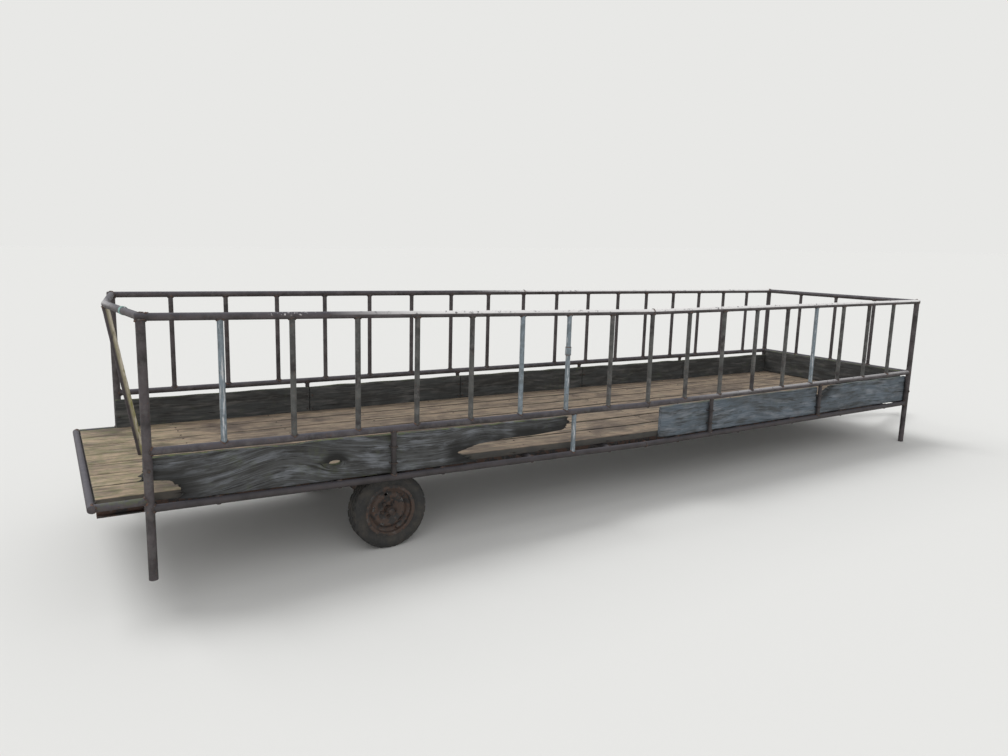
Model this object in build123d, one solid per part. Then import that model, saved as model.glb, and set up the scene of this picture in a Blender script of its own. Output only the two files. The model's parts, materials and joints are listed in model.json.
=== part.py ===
from build123d import *
import os
from math import asin, atan2, degrees, hypot

# A farm-built pipe feeder trailer, in millimetres. The trailer's own frame has X forward to the
# hitch, Y to its left side and Z up. Its zero is on the centre line of the bottom rails, midway
# between the sides, at the rear corner posts.

# Pipe frame
BAR_PITCH = 390.0        # between the upright feed bars
SIDE_BARS = 17           # upright feed bars along each side
FRAME_WIDTH = 1800.0     # between the side rails' centre lines
TOP_RAIL_Z = 1029.0
MID_RAIL_Z = 315.0
LEG_DROP = 400.0         # from the bottom rail's centre to a corner leg's foot
FOOT_SPARE = 8.0         # of the front legs' blanks, which is worn off level with the ground
REAR_REACH = 275.0       # of the deck's end rail behind the rear posts
DECK_FRAME_Z = 45.0      # of the pipes that frame the deck there
RAIL_OD = 42.2
BAR_OD = 33.4
POST_OD = 48.3
POST_WALL = 3.7
SADDLE = 10.5            # how far a post's top reaches up round its rail
FRAME_SAG = 38.0         # of the right side at its splice at mid-length; the left is straight
STUB_BAYS = 5            # board bays along a side, one stub post between two of them
FRONT_BARS = 3
PATCHED_BARS = (1, 6, 7, 14)     # bars of the right side that were renewed in galvanised pipe
PATCHED_STUB = 2
WELD_GAP = 0.2           # left between a coped end and what it is welded to

# Bowed rear rail and the post that leans with it
BOW = 100.0
BOW_RADIUS = 420.0
LEAN_FOOT_X = 62.0       # of its foot on the floor, ahead of the rear posts

# Repair sleeve on one feed bar
SLEEVE_BAR = 7
SLEEVE_OD = 42.2
SLEEVE_LENGTH = 52.0
SLEEVE_DROP = 270.0      # below the top rail

# Boards and planks
BOARD_THICK = 38.0
BOARD_HEIGHT = 254.0
BOARD_JOINT = 4.0        # between the ends of two boards
BOARD_SEAT = 0.2         # between wood and the pipe that it lies on
END_BOARD_HEIGHT = 254.0
CORNER_LOSS = 0.6        # share of the front board's height left at its broken corner
PLANK_THICK = 50.0
PLANK_COUNT = 7
PLANK_GAP = 6.0
BUTT_BEARER = 5          # the bearer on which the two lengths of plank meet

# Undercarriage
BEAM_SPREAD = 1120.0     # between the two chassis beams' webs
BEAM_DEPTH = 90.0
BEAM_FLANGE = 45.0
BEAM_WALL = 7.0
BEAM_REAR = -240.0
BEARERS_PER_BAY = 2
AXLE_X = 1428.0
AXLE_DROP = 275.0
AXLE_SIZE = 60.0
AXLE_WALL = 6.0
PERCH_WIDTH = 110.0
PERCH_THICK = 12.0

# Wheels
WHEEL_INSET = 162.0      # of the wheels' middles inside the side rails
TYRE_OD = 508.0
TYRE_WIDTH = 138.0
TREAD_WIDTH = 104.0
SHOULDER_DROP = 34.0     # of the tyre's widest place below its tread
RIM_OD = 342.0
RIM_SEAT_OD = 304.8
RIM_WIDTH = 116.0
RIM_WALL = 4.0
WELL_DEPTH = 20.0
WELL_WIDTH = 44.0
DISC_OFFSET = 20.0       # of the wheel disc outside the rim's middle
DISC_THICK = 5.0
DISC_DISH = 14.0         # of the disc's ring outside its flat middle
DISC_DISH_IN = 24.0      # of that ring inside the rim's well
DISC_FOOT = 8.0          # of the disc's edge along the well
DISC_LAND = 8.0          # of the disc's flat middle beyond the hub's flange
HUB_FLANGE_OD = 130.0
HUB_BARREL_OD = 74.0
HUB_NOSE_OD = 56.0
HUB_NOSE = 36.0          # of the hub's nose outside the wheel disc
HUB_IN = -76.0           # its inner end, from the rim's middle
HUB_FLANGE_THICK = 12.0
NOSE_WALL = 8.0
SPINDLE_SHY = 12.0       # of the spindle's end inside the hub's nose
SPINDLE_OD = 40.0
SPINDLE_SHOW = 54.0      # of the spindle between the axle tube and the hub
SPINDLE_ROOT = 90.0      # of the spindle inside the axle tube

# Drawbar
DRAW_REACH = 1150.0      # of the hitch pin in front of the front posts
DRAW_ROOT = 620.0        # where the drawbar legs start, behind the front posts
DRAW_DEPTH = 80.0
DRAW_WIDTH = 50.0
EYE_OD = 74.0
EYE_BORE = 27.0
EYE_THICK = 32.0
TONGUE_LENGTH = 190.0
TONGUE_WIDTH = 60.0
DRAW_LAP = 95.0          # of the drawbar's legs along the tongue
CLOSE = 0.3              # between two pieces that are bolted or pressed together

FRAME_LENGTH = BAR_PITCH * (SIDE_BARS + 1)
MIDDLE = FRAME_LENGTH / 2
SIDE_Y = FRAME_WIDTH / 2
BAY = FRAME_LENGTH / STUB_BAYS
SIDES = {"right": -1, "left": 1}


def sag(y):
    """How far the frame has sunk at mid-length, at a place across it."""
    return FRAME_SAG * (SIDE_Y - y) / FRAME_WIDTH


def drop(x, y):
    """Height lost to the sag at a place on the frame. The deck's overhangs stay level."""
    from_end = min(max(x, 0), FRAME_LENGTH)
    return -sag(y) * (1 - abs(2 * from_end / FRAME_LENGTH - 1))


def pipe(start, end, od):
    """Straight round bar between two points."""
    run = Vector(*end) - Vector(*start)
    return Solid.make_cylinder(od / 2, run.length, Plane(origin=start, z_dir=run.normalized()))


def kinked(x0, x1, y, z, od):
    """Round bar along the frame. One that has sunk is mitred at mid-length."""
    slope = sag(y) / MIDDLE
    if slope == 0:
        return pipe((x0, y, z), (x1, y, z), od)
    past = MIDDLE + od
    rear = pipe((x0, y, z - slope * x0), (past, y, z - slope * past), od)
    fore = pipe((FRAME_LENGTH - past, y, z - slope * past),
                (x1, y, z - slope * (FRAME_LENGTH - x1)), od)
    mitre = Plane.YZ.offset(MIDDLE)
    return (split(rear, mitre, keep=Keep.BOTTOM) + split(fore, mitre, keep=Keep.TOP)).solid()


def side_rail(side, z, x0, x1, spare=0.0):
    return kinked(x0, x1, side * SIDE_Y, z, RAIL_OD + 2 * spare)


def cut(shape, *tools):
    """One solid, less each of the tools."""
    for tool in tools:
        shape = shape - tool
    return shape.solids().sort_by(SortBy.VOLUME)[-1]


def group(solids):
    return Compound(list(solids))


# Envelopes: each rail and post with the room that a coped end leaves round it
RAIL_TOP_ENDS = (-POST_OD / 2, FRAME_LENGTH + POST_OD / 2)
ENVELOPE = {
    (name, z): side_rail(side, z, -REAR_REACH - RAIL_OD, FRAME_LENGTH + RAIL_OD, WELD_GAP)
    for name, side in SIDES.items()
    for z in (0, MID_RAIL_Z, TOP_RAIL_Z)
}


def corner_post(side, x, spare=0.0):
    foot = -LEG_DROP - (FOOT_SPARE if x > 0 else 0)
    top = TOP_RAIL_Z - RAIL_OD / 2 + SADDLE
    return pipe((x, side * SIDE_Y, foot), (x, side * SIDE_Y, top), POST_OD + 2 * spare)


POST_ROOM = {
    (name, x): corner_post(side, x, WELD_GAP)
    for name, side in SIDES.items()
    for x in (0, FRAME_LENGTH)
}


def cross_rail(x, z, *around):
    """Pipe from side to side, coped to both side rails and cut round what else it meets."""
    blank = pipe((x, -SIDE_Y, z), (x, SIDE_Y, z), RAIL_OD)
    return cut(blank, *[ENVELOPE[name, z] for name in SIDES], *around)


PARTS = {}

# Side rails, which run between the corner posts, or over them at the top
for name, side in SIDES.items():
    posts = [POST_ROOM[name, 0], POST_ROOM[name, FRAME_LENGTH]]
    PARTS[f"{name}_top_rail"] = side_rail(side, TOP_RAIL_Z, *RAIL_TOP_ENDS)
    middle = side_rail(side, MID_RAIL_Z, 0, FRAME_LENGTH)
    PARTS[f"{name}_mid_rail"] = cut(middle, *posts)
    PARTS[f"{name}_bottom_rail"] = cut(side_rail(side, 0, 0, FRAME_LENGTH), *posts)
    deck_end = pipe((-REAR_REACH, -FRAME_WIDTH, DECK_FRAME_Z),
                    (-REAR_REACH, FRAME_WIDTH, DECK_FRAME_Z), RAIL_OD + 2 * WELD_GAP)
    arm = pipe((-REAR_REACH, side * SIDE_Y, DECK_FRAME_Z), (0, side * SIDE_Y, DECK_FRAME_Z),
               RAIL_OD)
    PARTS[f"{name}_deck_arm"] = cut(arm, posts[0], deck_end)

# End rails
FRONT_POSTS = [POST_ROOM[name, FRAME_LENGTH] for name in SIDES]
REAR_POSTS = [POST_ROOM[name, 0] for name in SIDES]
PARTS["front_top_rail"] = cross_rail(FRAME_LENGTH, TOP_RAIL_Z)
PARTS["front_mid_rail"] = cross_rail(FRAME_LENGTH, MID_RAIL_Z, *FRONT_POSTS)
PARTS["front_bottom_rail"] = cross_rail(FRAME_LENGTH, 0, *FRONT_POSTS)
PARTS["rear_bottom_rail"] = cross_rail(0, 0, *REAR_POSTS)
PARTS["deck_end_rail"] = pipe((-REAR_REACH, -SIDE_Y - RAIL_OD / 2, DECK_FRAME_Z),
                              (-REAR_REACH, SIDE_Y + RAIL_OD / 2, DECK_FRAME_Z), RAIL_OD)


def bowed_rail(od):
    """The rear top rail, pushed out at its middle."""
    path = FilletPolyline((0, -SIDE_Y, TOP_RAIL_Z), (-BOW, 0, TOP_RAIL_Z), (0, SIDE_Y, TOP_RAIL_Z),
                          radius=BOW_RADIUS)
    return sweep(Plane(origin=path @ 0, z_dir=path % 0) * Circle(od / 2), path=path)


TOP_SIDES = [ENVELOPE[name, TOP_RAIL_Z] for name in SIDES]
PARTS["rear_bowed_rail"] = cut(bowed_rail(RAIL_OD), *TOP_SIDES)

# The post that leans with it stands on the floor
DECK_Z = RAIL_OD / 2 + BOARD_SEAT
FLOOR_Z = DECK_Z + PLANK_THICK
under_floor = Box(4 * BOW, 4 * BOW, 2 * BAR_OD).moved(
    Location((LEAN_FOOT_X, 0, FLOOR_Z + WELD_GAP - BAR_OD)))
PARTS["rear_leaning_post"] = cut(pipe((LEAN_FOOT_X, 0, FLOOR_Z - BAR_OD), (-BOW, 0, TOP_RAIL_Z),
                                      BAR_OD),
                                 bowed_rail(RAIL_OD + 2 * WELD_GAP), under_floor)

# Corner posts, open pipes whose lower ends are the legs
for end, x, top_rail in (("rear", 0, bowed_rail(RAIL_OD + 2 * WELD_GAP)),
                         ("front", FRAME_LENGTH, pipe((FRAME_LENGTH, -SIDE_Y, TOP_RAIL_Z),
                                                      (FRAME_LENGTH, SIDE_Y, TOP_RAIL_Z),
                                                      RAIL_OD + 2 * WELD_GAP))):
    for name, side in SIDES.items():
        bore = corner_post(side, x, -POST_WALL)
        PARTS[f"{end}_{name}_post"] = cut(corner_post(side, x), ENVELOPE[name, TOP_RAIL_Z],
                                          top_rail, bore)


def upright(x, y, z0, z1, od, rails):
    return cut(pipe((x, y, z0 + drop(x, y)), (x, y, z1 + drop(x, y)), od), *rails)


# Upright feed bars between the top and middle rails
for name, side in SIDES.items():
    rails = [ENVELOPE[name, MID_RAIL_Z], ENVELOPE[name, TOP_RAIL_Z]]
    bars = {k: upright(k * BAR_PITCH, side * SIDE_Y, MID_RAIL_Z, TOP_RAIL_Z, BAR_OD, rails)
            for k in range(1, SIDE_BARS + 1)}
    patched = PATCHED_BARS if name == "right" else ()
    PARTS[f"{name}_feed_bars"] = group(bars[k] for k in bars if k not in patched)
    if patched:
        PARTS[f"{name}_patched_bars"] = group(bars[k] for k in patched)

FRONT_RAILS = [pipe((FRAME_LENGTH, -SIDE_Y, z), (FRAME_LENGTH, SIDE_Y, z), RAIL_OD + 2 * WELD_GAP)
               for z in (MID_RAIL_Z, TOP_RAIL_Z)]
FRONT_PITCH = FRAME_WIDTH / (FRONT_BARS + 1)
PARTS["front_feed_bars"] = group(
    upright(FRAME_LENGTH, (k + 1) * FRONT_PITCH - SIDE_Y, MID_RAIL_Z, TOP_RAIL_Z, BAR_OD,
            FRONT_RAILS)
    for k in range(FRONT_BARS))

# Repair sleeve round one bar of the right side
sleeve_x = SLEEVE_BAR * BAR_PITCH
sleeve_z = TOP_RAIL_Z - SLEEVE_DROP + drop(sleeve_x, -SIDE_Y)
sleeve_ends = [(sleeve_x, -SIDE_Y, sleeve_z + shift * SLEEVE_LENGTH) for shift in (-0.5, 0.5)]
PARTS["bar_sleeve"] = cut(pipe(*sleeve_ends, SLEEVE_OD), pipe(*sleeve_ends, BAR_OD + 2 * WELD_GAP))


# Short stub posts between the middle and bottom rails, one between each two bays
for name, side in SIDES.items():
    rails = [ENVELOPE[name, 0], ENVELOPE[name, MID_RAIL_Z]]
    stubs = {k: upright(k * BAY, side * SIDE_Y, 0, MID_RAIL_Z, BAR_OD, rails)
             for k in range(1, STUB_BAYS)}
    patched = (PATCHED_STUB,) if name == "right" else ()
    PARTS[f"{name}_stub_posts"] = group(stubs[k] for k in stubs if k not in patched)
    if patched:
        PARTS[f"{name}_patched_stub"] = stubs[PATCHED_STUB]

# Cross-bearers under the floor, coped to the bottom rails
BEARER_PITCH = BAY / BEARERS_PER_BAY
BEARERS = [(k + 0.5) * BEARER_PITCH for k in range(STUB_BAYS * BEARERS_PER_BAY)]
PARTS["cross_bearers"] = group(
    cut(pipe((x, -SIDE_Y, drop(x, -SIDE_Y)), (x, SIDE_Y, 0), RAIL_OD),
        *[ENVELOPE[name, 0] for name in SIDES])
    for x in BEARERS)

# Side boards stand on the bearers just inside the posts
BOARD_Y = SIDE_Y - POST_OD / 2 - CLOSE - BOARD_THICK     # inner face


def slab(points, y_left, width):
    """Solid of that width to the right of y_left, from its outline of (x, z) points."""
    return extrude(Plane.XZ.offset(-y_left) * make_face(Polyline(*points, close=True)),
                   amount=width)


def board(side, outline):
    """A board of one side from its outline of (x, height above the bearers) points."""
    y_left = BOARD_Y + BOARD_THICK if side > 0 else -BOARD_Y
    return slab([(x, DECK_Z + drop(x, y_left) + up) for x, up in outline], y_left, BOARD_THICK)


def whole(x0, x1):
    """Outline of a sound board, with a point at the kink if it passes it."""
    below = [x0, x1] if not x0 < MIDDLE < x1 else [x0, MIDDLE, x1]
    return [(x, 0) for x in below] + [(x, BOARD_HEIGHT) for x in reversed(below)]


def bay_ends(first, last):
    """Ends of a board that fills bays, butted at the stubs and flush with the end rails."""
    x0 = -RAIL_OD / 2 if first == 0 else first * BAY + BOARD_JOINT / 2
    x1 = FRAME_LENGTH + RAIL_OD / 2 if last == STUB_BAYS else last * BAY - BOARD_JOINT / 2
    return x0, x1


def edge(points):
    """A broken edge from (feed bars from the rear, share of the board's height) points."""
    return [(bars * BAR_PITCH, share * BOARD_HEIGHT) for bars, share in points]


# Broken edges of the right side's boards, each from the rear forward or round its corner
REAR_BREAK = ((0.09, 0.51), (0.27, 0.45), (0.40, 0.35), (0.45, 0.17), (0.47, 0))
SECOND_BREAK = ((5.14, 0), (4.88, 0.21), (4.75, 0.32), (5.23, 0.48), (5.64, 0.54), (6.27, 0.55),
                (6.94, 0.61), (7.09, 0.78), (7.09, 1))
FRONT_BREAK = ((15.04, 1), (14.86, 0.90), (14.73, 0.77), (14.51, 0.65))
THIRD_START = 9.46 * BAR_PITCH           # where the third board of the right side starts
KNOT_HOLE = (2.65, 0.43)
KNOT_LENGTH = 76.0
KNOT_HEIGHT = 30.0

rear_x, rear_end = bay_ends(0, 1)
second_x, _ = bay_ends(1, 2)
_, third_end = bay_ends(2, 4)
front_x, front_end = bay_ends(4, 5)
rear_board = board(-1, [(rear_x, REAR_BREAK[0][1] * BOARD_HEIGHT), *edge(REAR_BREAK),
                        (rear_end, 0), (rear_end, BOARD_HEIGHT), (rear_x, BOARD_HEIGHT)])
knot_x, knot_up = edge([KNOT_HOLE])[0]
knot = extrude(Plane.XZ * Ellipse(KNOT_LENGTH / 2, KNOT_HEIGHT / 2), amount=FRAME_WIDTH)
PARTS["right_board_rear"] = cut(rear_board, knot.moved(
    Location((knot_x, 0, DECK_Z + drop(knot_x, -BOARD_Y) + knot_up))))
PARTS["right_board_second"] = board(-1, [(second_x, 0), *edge(SECOND_BREAK),
                                         (second_x, BOARD_HEIGHT)])
PARTS["right_board_third"] = board(-1, whole(THIRD_START, third_end))
PARTS["right_board_front"] = board(-1, [(front_x, 0), (front_end, 0), (front_end, BOARD_HEIGHT),
                                        *edge(FRONT_BREAK),
                                        (front_x, CORNER_LOSS * BOARD_HEIGHT)])
PARTS["left_boards"] = group(board(1, whole(*bay_ends(k, k + 1))) for k in range(STUB_BAYS))

# End board inside the front posts, standing on the floor's end
END_BOARD_X = FRAME_LENGTH - RAIL_OD / 2 - CLOSE - BOARD_THICK
END_BOARD_Z = FLOOR_Z + BOARD_SEAT
inside = 2 * (BOARD_Y - BOARD_JOINT)
PARTS["front_board"] = Box(BOARD_THICK, inside, END_BOARD_HEIGHT).moved(
    Location((END_BOARD_X + BOARD_THICK / 2, 0, END_BOARD_Z + END_BOARD_HEIGHT / 2))).solid()

# Floor planks, in two lengths butted over a bearer
PLANK_WIDTH = (inside - (PLANK_COUNT - 1) * PLANK_GAP) / PLANK_COUNT
FLOOR_FRONT = FRAME_LENGTH + RAIL_OD / 2
BUTT_X = BEARERS[BUTT_BEARER]


def plank(row, x0, x1):
    """Floor plank that lies on the bearers along its left edge, rows counted from the right."""
    y_left = (row + 1) * PLANK_WIDTH + row * PLANK_GAP - inside / 2
    bends = [x0, *[x for x in (0, MIDDLE) if x0 < x < x1], x1]
    low = [(x, DECK_Z + drop(x, y_left)) for x in bends]
    high = [(x, z + PLANK_THICK) for x, z in reversed(low)]
    return slab(low + high, y_left, PLANK_WIDTH)


PARTS["rear_floor_planks"] = group(
    plank(row, RAIL_OD / 2 + BOARD_JOINT - REAR_REACH, BUTT_X - BOARD_JOINT / 2)
    for row in range(PLANK_COUNT))
PARTS["front_floor_planks"] = group(
    plank(row, BUTT_X + BOARD_JOINT / 2, FLOOR_FRONT) for row in range(PLANK_COUNT))

# Chassis beams: channels under the bearers, open to the outside
BEAM_TOP = -RAIL_OD / 2 - CLOSE
BEAM_FRONT = FRAME_LENGTH + RAIL_OD / 2


def channel(side):
    """Channel with its web inboard, following the sag."""
    web = side * BEAM_SPREAD / 2
    y_left, y_right = max(web, web + side * BEAM_FLANGE), min(web, web + side * BEAM_FLANGE)
    top = [(x, BEAM_TOP + drop(x, y_right)) for x in (BEAM_REAR, 0, MIDDLE, BEAM_FRONT)]

    def strip(start, stop, shift):
        points = [(x, z - start) for x, z in top] + [(x, z - stop) for x, z in reversed(top)]
        return slab(points, y_left + shift, BEAM_FLANGE)

    return cut(strip(0, BEAM_DEPTH, 0),
               strip(BEAM_WALL, BEAM_DEPTH - BEAM_WALL, side * BEAM_WALL))


for name, side in SIDES.items():
    PARTS[f"{name}_chassis_beam"] = channel(side)

# Axle: a square tube on two perches welded under the beams, with a spindle at each end
TRACK = FRAME_WIDTH - 2 * WHEEL_INSET
axle_z = -AXLE_DROP
axle_half = TRACK / 2 + HUB_IN - SPINDLE_SHOW
axle_bore = AXLE_SIZE - 2 * AXLE_WALL
axle = Box(AXLE_SIZE, 2 * axle_half, AXLE_SIZE) - Box(axle_bore, 2 * axle_half, axle_bore)
PARTS["axle_beam"] = axle.moved(Location((AXLE_X, 0, axle_z))).solid()
perch_low = axle_z + AXLE_SIZE / 2 + CLOSE
for name, side in SIDES.items():
    y = side * (BEAM_SPREAD + BEAM_FLANGE) / 2
    lowest = drop(AXLE_X + PERCH_WIDTH / 2, y - BEAM_FLANGE / 2)
    perch_top = BEAM_TOP + lowest - BEAM_DEPTH - CLOSE
    perch_mid, height = (perch_top + perch_low) / 2, perch_top - perch_low
    legs = [Box(PERCH_THICK, BEAM_FLANGE, height).moved(
        Location((AXLE_X + fore * (PERCH_WIDTH - PERCH_THICK) / 2, y, perch_mid)))
        for fore in (-1, 1)]
    web = Box(PERCH_WIDTH, PERCH_THICK, height).moved(Location((AXLE_X, y, perch_mid)))
    PARTS[f"{name}_axle_perch"] = (legs[0] + legs[1] + web).solid()


# Wheels: tyre, rim with its disc, hub and spindle, turned about the axle
def place_wheel(solid, side):
    """From outward along X to outward on one side of the trailer."""
    return solid.rotate(Axis.Z, 90 * side).moved(Location((AXLE_X, side * TRACK / 2, axle_z)))


def turned(points, side):
    """Solid of revolution about the axle from (outward, radius) points."""
    return place_wheel(revolve(make_face(Polyline(*points, close=True)), axis=Axis.X), side)


def both_ways(points):
    """A profile's outer half, and the same mirrored for its inner half."""
    return points + [(-out, radius) for out, radius in reversed(points)]


seat, lip_radius, half = RIM_SEAT_OD / 2, RIM_OD / 2, RIM_WIDTH / 2
lip = half - RIM_WALL                    # inner face of the rim's flange
well = seat - RIM_WALL - WELL_DEPTH
tread = TYRE_OD / 2
back, front = DISC_OFFSET - DISC_THICK, DISC_OFFSET
bowl = HUB_FLANGE_OD / 2 + DISC_LAND
dish = well - DISC_DISH_IN
nose_out = DISC_OFFSET + HUB_NOSE
bearing = SPINDLE_OD / 2 + CLOSE
for name, side in SIDES.items():
    PARTS[f"{name}_tyre"] = turned(both_ways([
        (lip - CLOSE, seat + CLOSE), (lip - CLOSE, lip_radius + CLOSE),
        (TYRE_WIDTH / 2, tread - SHOULDER_DROP), (TREAD_WIDTH / 2, tread)]), side)
    barrel = turned(both_ways([
        (WELL_WIDTH / 2, well), (WELL_WIDTH / 2 + WELL_DEPTH / 2, seat - RIM_WALL),
        (half, seat - RIM_WALL), (half, lip_radius), (lip, lip_radius), (lip, seat)]), side)
    disc = turned([
        (back, HUB_NOSE_OD / 2 + CLOSE), (back, bowl), (back + DISC_DISH, dish),
        (back - DISC_FOOT, well), (back, well), (front + DISC_DISH, dish), (front, bowl),
        (front, HUB_NOSE_OD / 2 + CLOSE)], side)
    PARTS[f"{name}_rim"] = (barrel + disc).solid()
    face = back - CLOSE
    PARTS[f"{name}_hub"] = turned([
        (HUB_IN, bearing), (HUB_IN, HUB_BARREL_OD / 2),
        (face - HUB_FLANGE_THICK, HUB_BARREL_OD / 2), (face - HUB_FLANGE_THICK, HUB_FLANGE_OD / 2),
        (face, HUB_FLANGE_OD / 2), (face, HUB_NOSE_OD / 2), (nose_out, HUB_NOSE_OD / 2),
        (nose_out, 0), (nose_out - NOSE_WALL, 0), (nose_out - NOSE_WALL, bearing)], side)
    spindle_in = HUB_IN - SPINDLE_SHOW
    root = pipe((spindle_in - SPINDLE_ROOT, 0, 0), (spindle_in, 0, 0), axle_bore - 2 * CLOSE)
    stub = pipe((spindle_in, 0, 0), (nose_out - SPINDLE_SHY, 0, 0), SPINDLE_OD)
    PARTS[f"{name}_spindle"] = place_wheel(root + stub, side).solid()

# Drawbar: two bars that run in from the chassis beams to a tongue with a pin eye
draw_z = BEAM_TOP + drop(FRAME_LENGTH - DRAW_ROOT, -SIDE_Y) - BEAM_DEPTH / 2
PIN_X = FRAME_LENGTH + DRAW_REACH
tongue_back = PIN_X - TONGUE_LENGTH
tongue = Box(TONGUE_LENGTH, TONGUE_WIDTH, EYE_THICK).moved(
    Location((PIN_X - TONGUE_LENGTH / 2, 0, draw_z)))
eye = Cylinder(EYE_OD / 2, EYE_THICK).moved(Location((PIN_X, 0, draw_z)))
bore = Cylinder(EYE_BORE / 2, 2 * EYE_THICK).moved(Location((PIN_X, 0, draw_z)))
PARTS["hitch_eye"] = cut(tongue + eye, bore)
web_y = BEAM_SPREAD / 2 - CLOSE
tongue_y = TONGUE_WIDTH / 2 + CLOSE
for name, side in SIDES.items():
    root = Vector(FRAME_LENGTH - DRAW_ROOT, side * web_y, draw_z)
    nose = Vector(tongue_back + DRAW_LAP, side * (tongue_y + DRAW_WIDTH / 4), draw_z)
    run = nose - root
    heading = degrees(atan2(run.Y, run.X))
    blank = Box(run.length + 2 * DRAW_WIDTH, DRAW_WIDTH, DRAW_DEPTH)
    blank = blank.moved(Location((run.length / 2 - DRAW_WIDTH, 0, 0))).rotate(Axis.Z, heading)
    between = Box(4 * run.length, web_y - tongue_y, 2 * DRAW_DEPTH).moved(
        Location((root.X, side * (web_y + tongue_y) / 2, draw_z)))
    PARTS[f"{name}_draw_bar"] = (blank.moved(Location(root)) & between).solid()

# Parked on its two wheels and its front legs, nose down, with the front feet worn level
NOSE_DOWN = degrees(asin((TYRE_OD / 2) / hypot(FRAME_LENGTH - AXLE_X, LEG_DROP + axle_z))
                    - atan2(LEG_DROP + axle_z, FRAME_LENGTH - AXLE_X))


def parked(shape):
    return shape.rotate(Axis.Y, NOSE_DOWN)


posed = {name: parked(shape) for name, shape in PARTS.items()}
floor = min(shape.bounding_box().min.Z for name, shape in posed.items() if "tyre" in name)
earth = Box(LEG_DROP, LEG_DROP, LEG_DROP).moved(Location((0, 0, floor - LEG_DROP / 2)))
for name in SIDES:
    post = posed[f"front_{name}_post"]
    spot = post.center()
    posed[f"front_{name}_post"] = cut(post, earth.moved(Location((spot.X, spot.Y, 0))))
whole_box = Compound(list(posed.values())).bounding_box()
ORIGIN = Vector(whole_box.center().X, whole_box.center().Y, floor)
os.makedirs("parts", exist_ok=True)
for name, shape in posed.items():
    export_step(shape.moved(Location(-ORIGIN)), f"parts/{name}.step")
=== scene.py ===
import json
import math

import bmesh
import bpy
from bpy.props import FloatProperty, FloatVectorProperty, PointerProperty
from mathutils import Euler, Matrix, Vector, noise


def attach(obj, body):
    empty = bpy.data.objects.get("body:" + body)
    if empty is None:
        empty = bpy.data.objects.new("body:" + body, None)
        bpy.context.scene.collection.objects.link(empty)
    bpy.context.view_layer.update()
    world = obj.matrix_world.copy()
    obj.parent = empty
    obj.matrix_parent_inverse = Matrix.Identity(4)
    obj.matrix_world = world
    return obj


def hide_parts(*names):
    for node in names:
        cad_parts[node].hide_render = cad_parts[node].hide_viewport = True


bl_info = {
    "name": "Pipe feeder trailer",
    "version": (1, 0, 0),
    "blender": (4, 5, 0),
    "location": "View3D > Sidebar > Feeder trailer",
    "description": "Dresses a farm-built pipe feeder trailer",
    "category": "Object",
}

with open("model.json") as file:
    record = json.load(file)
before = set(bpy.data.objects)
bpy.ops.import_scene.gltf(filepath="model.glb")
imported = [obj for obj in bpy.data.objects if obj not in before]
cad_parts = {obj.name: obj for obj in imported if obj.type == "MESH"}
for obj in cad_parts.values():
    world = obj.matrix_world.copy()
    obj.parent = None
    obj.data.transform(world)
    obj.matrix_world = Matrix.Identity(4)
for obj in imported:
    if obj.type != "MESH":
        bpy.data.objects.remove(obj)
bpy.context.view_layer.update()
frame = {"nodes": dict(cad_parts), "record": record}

# Sizes and places of the model

# Places are in the trailer's own frame, in metres: X forward along the deck, Y to the left, Z up,
# and zero on the centre line of the bottom rails at the rear posts.

BAR_PITCH = 0.390
SIDE_BARS = 17
FRAME_LENGTH = (SIDE_BARS + 1) * BAR_PITCH
STUB_BAYS = 5
STUB_PITCH = FRAME_LENGTH / STUB_BAYS
BEARERS = 2 * STUB_BAYS
BEARER_PITCH = STUB_PITCH / 2
SIDE_Y = 0.900
TOP_Z = 1.029
MID_Z = 0.315
SAG = 0.038
RAIL_R = 0.0211
BAR_R = 0.0167
POST_R = 0.02415
POST_SADDLE = 0.0106         # a post's top edge below its rail's centre line
REAR_REACH = 0.275           # of the deck's end rail behind the rear posts
DECK_FRAME_Z = 0.045
BOW = 0.100                  # of the rear top rail
BOW_SLOPE = 0.11             # of its straight halves
DECK_Z = 0.0213              # underside of the boards and planks
FLOOR_Z = DECK_Z + 0.050
BOARD_HEIGHT = 0.254
BOARD_FACE = 0.87555         # outer face of the side boards
BOARD_THICK = 0.038
TIMBER_TOP = DECK_Z + BOARD_HEIGHT
PLANK_COUNT = 7
HALF_FLOOR = 0.83355
PLANK_STEP = (2 * HALF_FLOOR + 0.006) / PLANK_COUNT
BUTT_BEARER = 5              # the bearer that the two lengths of plank meet on
BUTT_X = (BUTT_BEARER + 0.5) * BEARER_PITCH
LEAN_FOOT = Vector((0.062, 0, FLOOR_Z))
SLEEVE_X = 7 * BAR_PITCH
SLEEVE_LENGTH = 0.052
SLEEVE_DROP = 0.270          # below the top rail
AXLE = Vector((1.428, 0, -0.275))
PERCH_Y = 0.5825
PERCH_BOLT = 0.033           # from a perch's middle to each of its U-bolts
TYRE_RADIUS = 0.254
PIN_X = FRAME_LENGTH + 1.150
DRAW_Z = -0.0730
TONGUE_HALF = 0.0306

PIN_AXIS = Vector(frame["record"]["mounts"][0]["axis"])
NOSE_DOWN = Matrix.Rotation(math.asin(PIN_AXIS.x), 3, "Y")
JOINTS = frame["record"]["behaviour"]["joints"]
WHEELS = {joint["child"]: Vector(joint["pos_m"]) for joint in JOINTS}
ZERO = (WHEELS["right_wheel"] + WHEELS["left_wheel"]) / 2 - NOSE_DOWN @ AXLE
PLACE = Matrix.Translation(ZERO) @ NOSE_DOWN.to_4x4()     # trailer's own frame to the shared one
BACK = PLACE.inverted()
X, Y, Z = (Vector(axis) for axis in ((1, 0, 0), (0, 1, 0), (0, 0, 1)))

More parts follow.
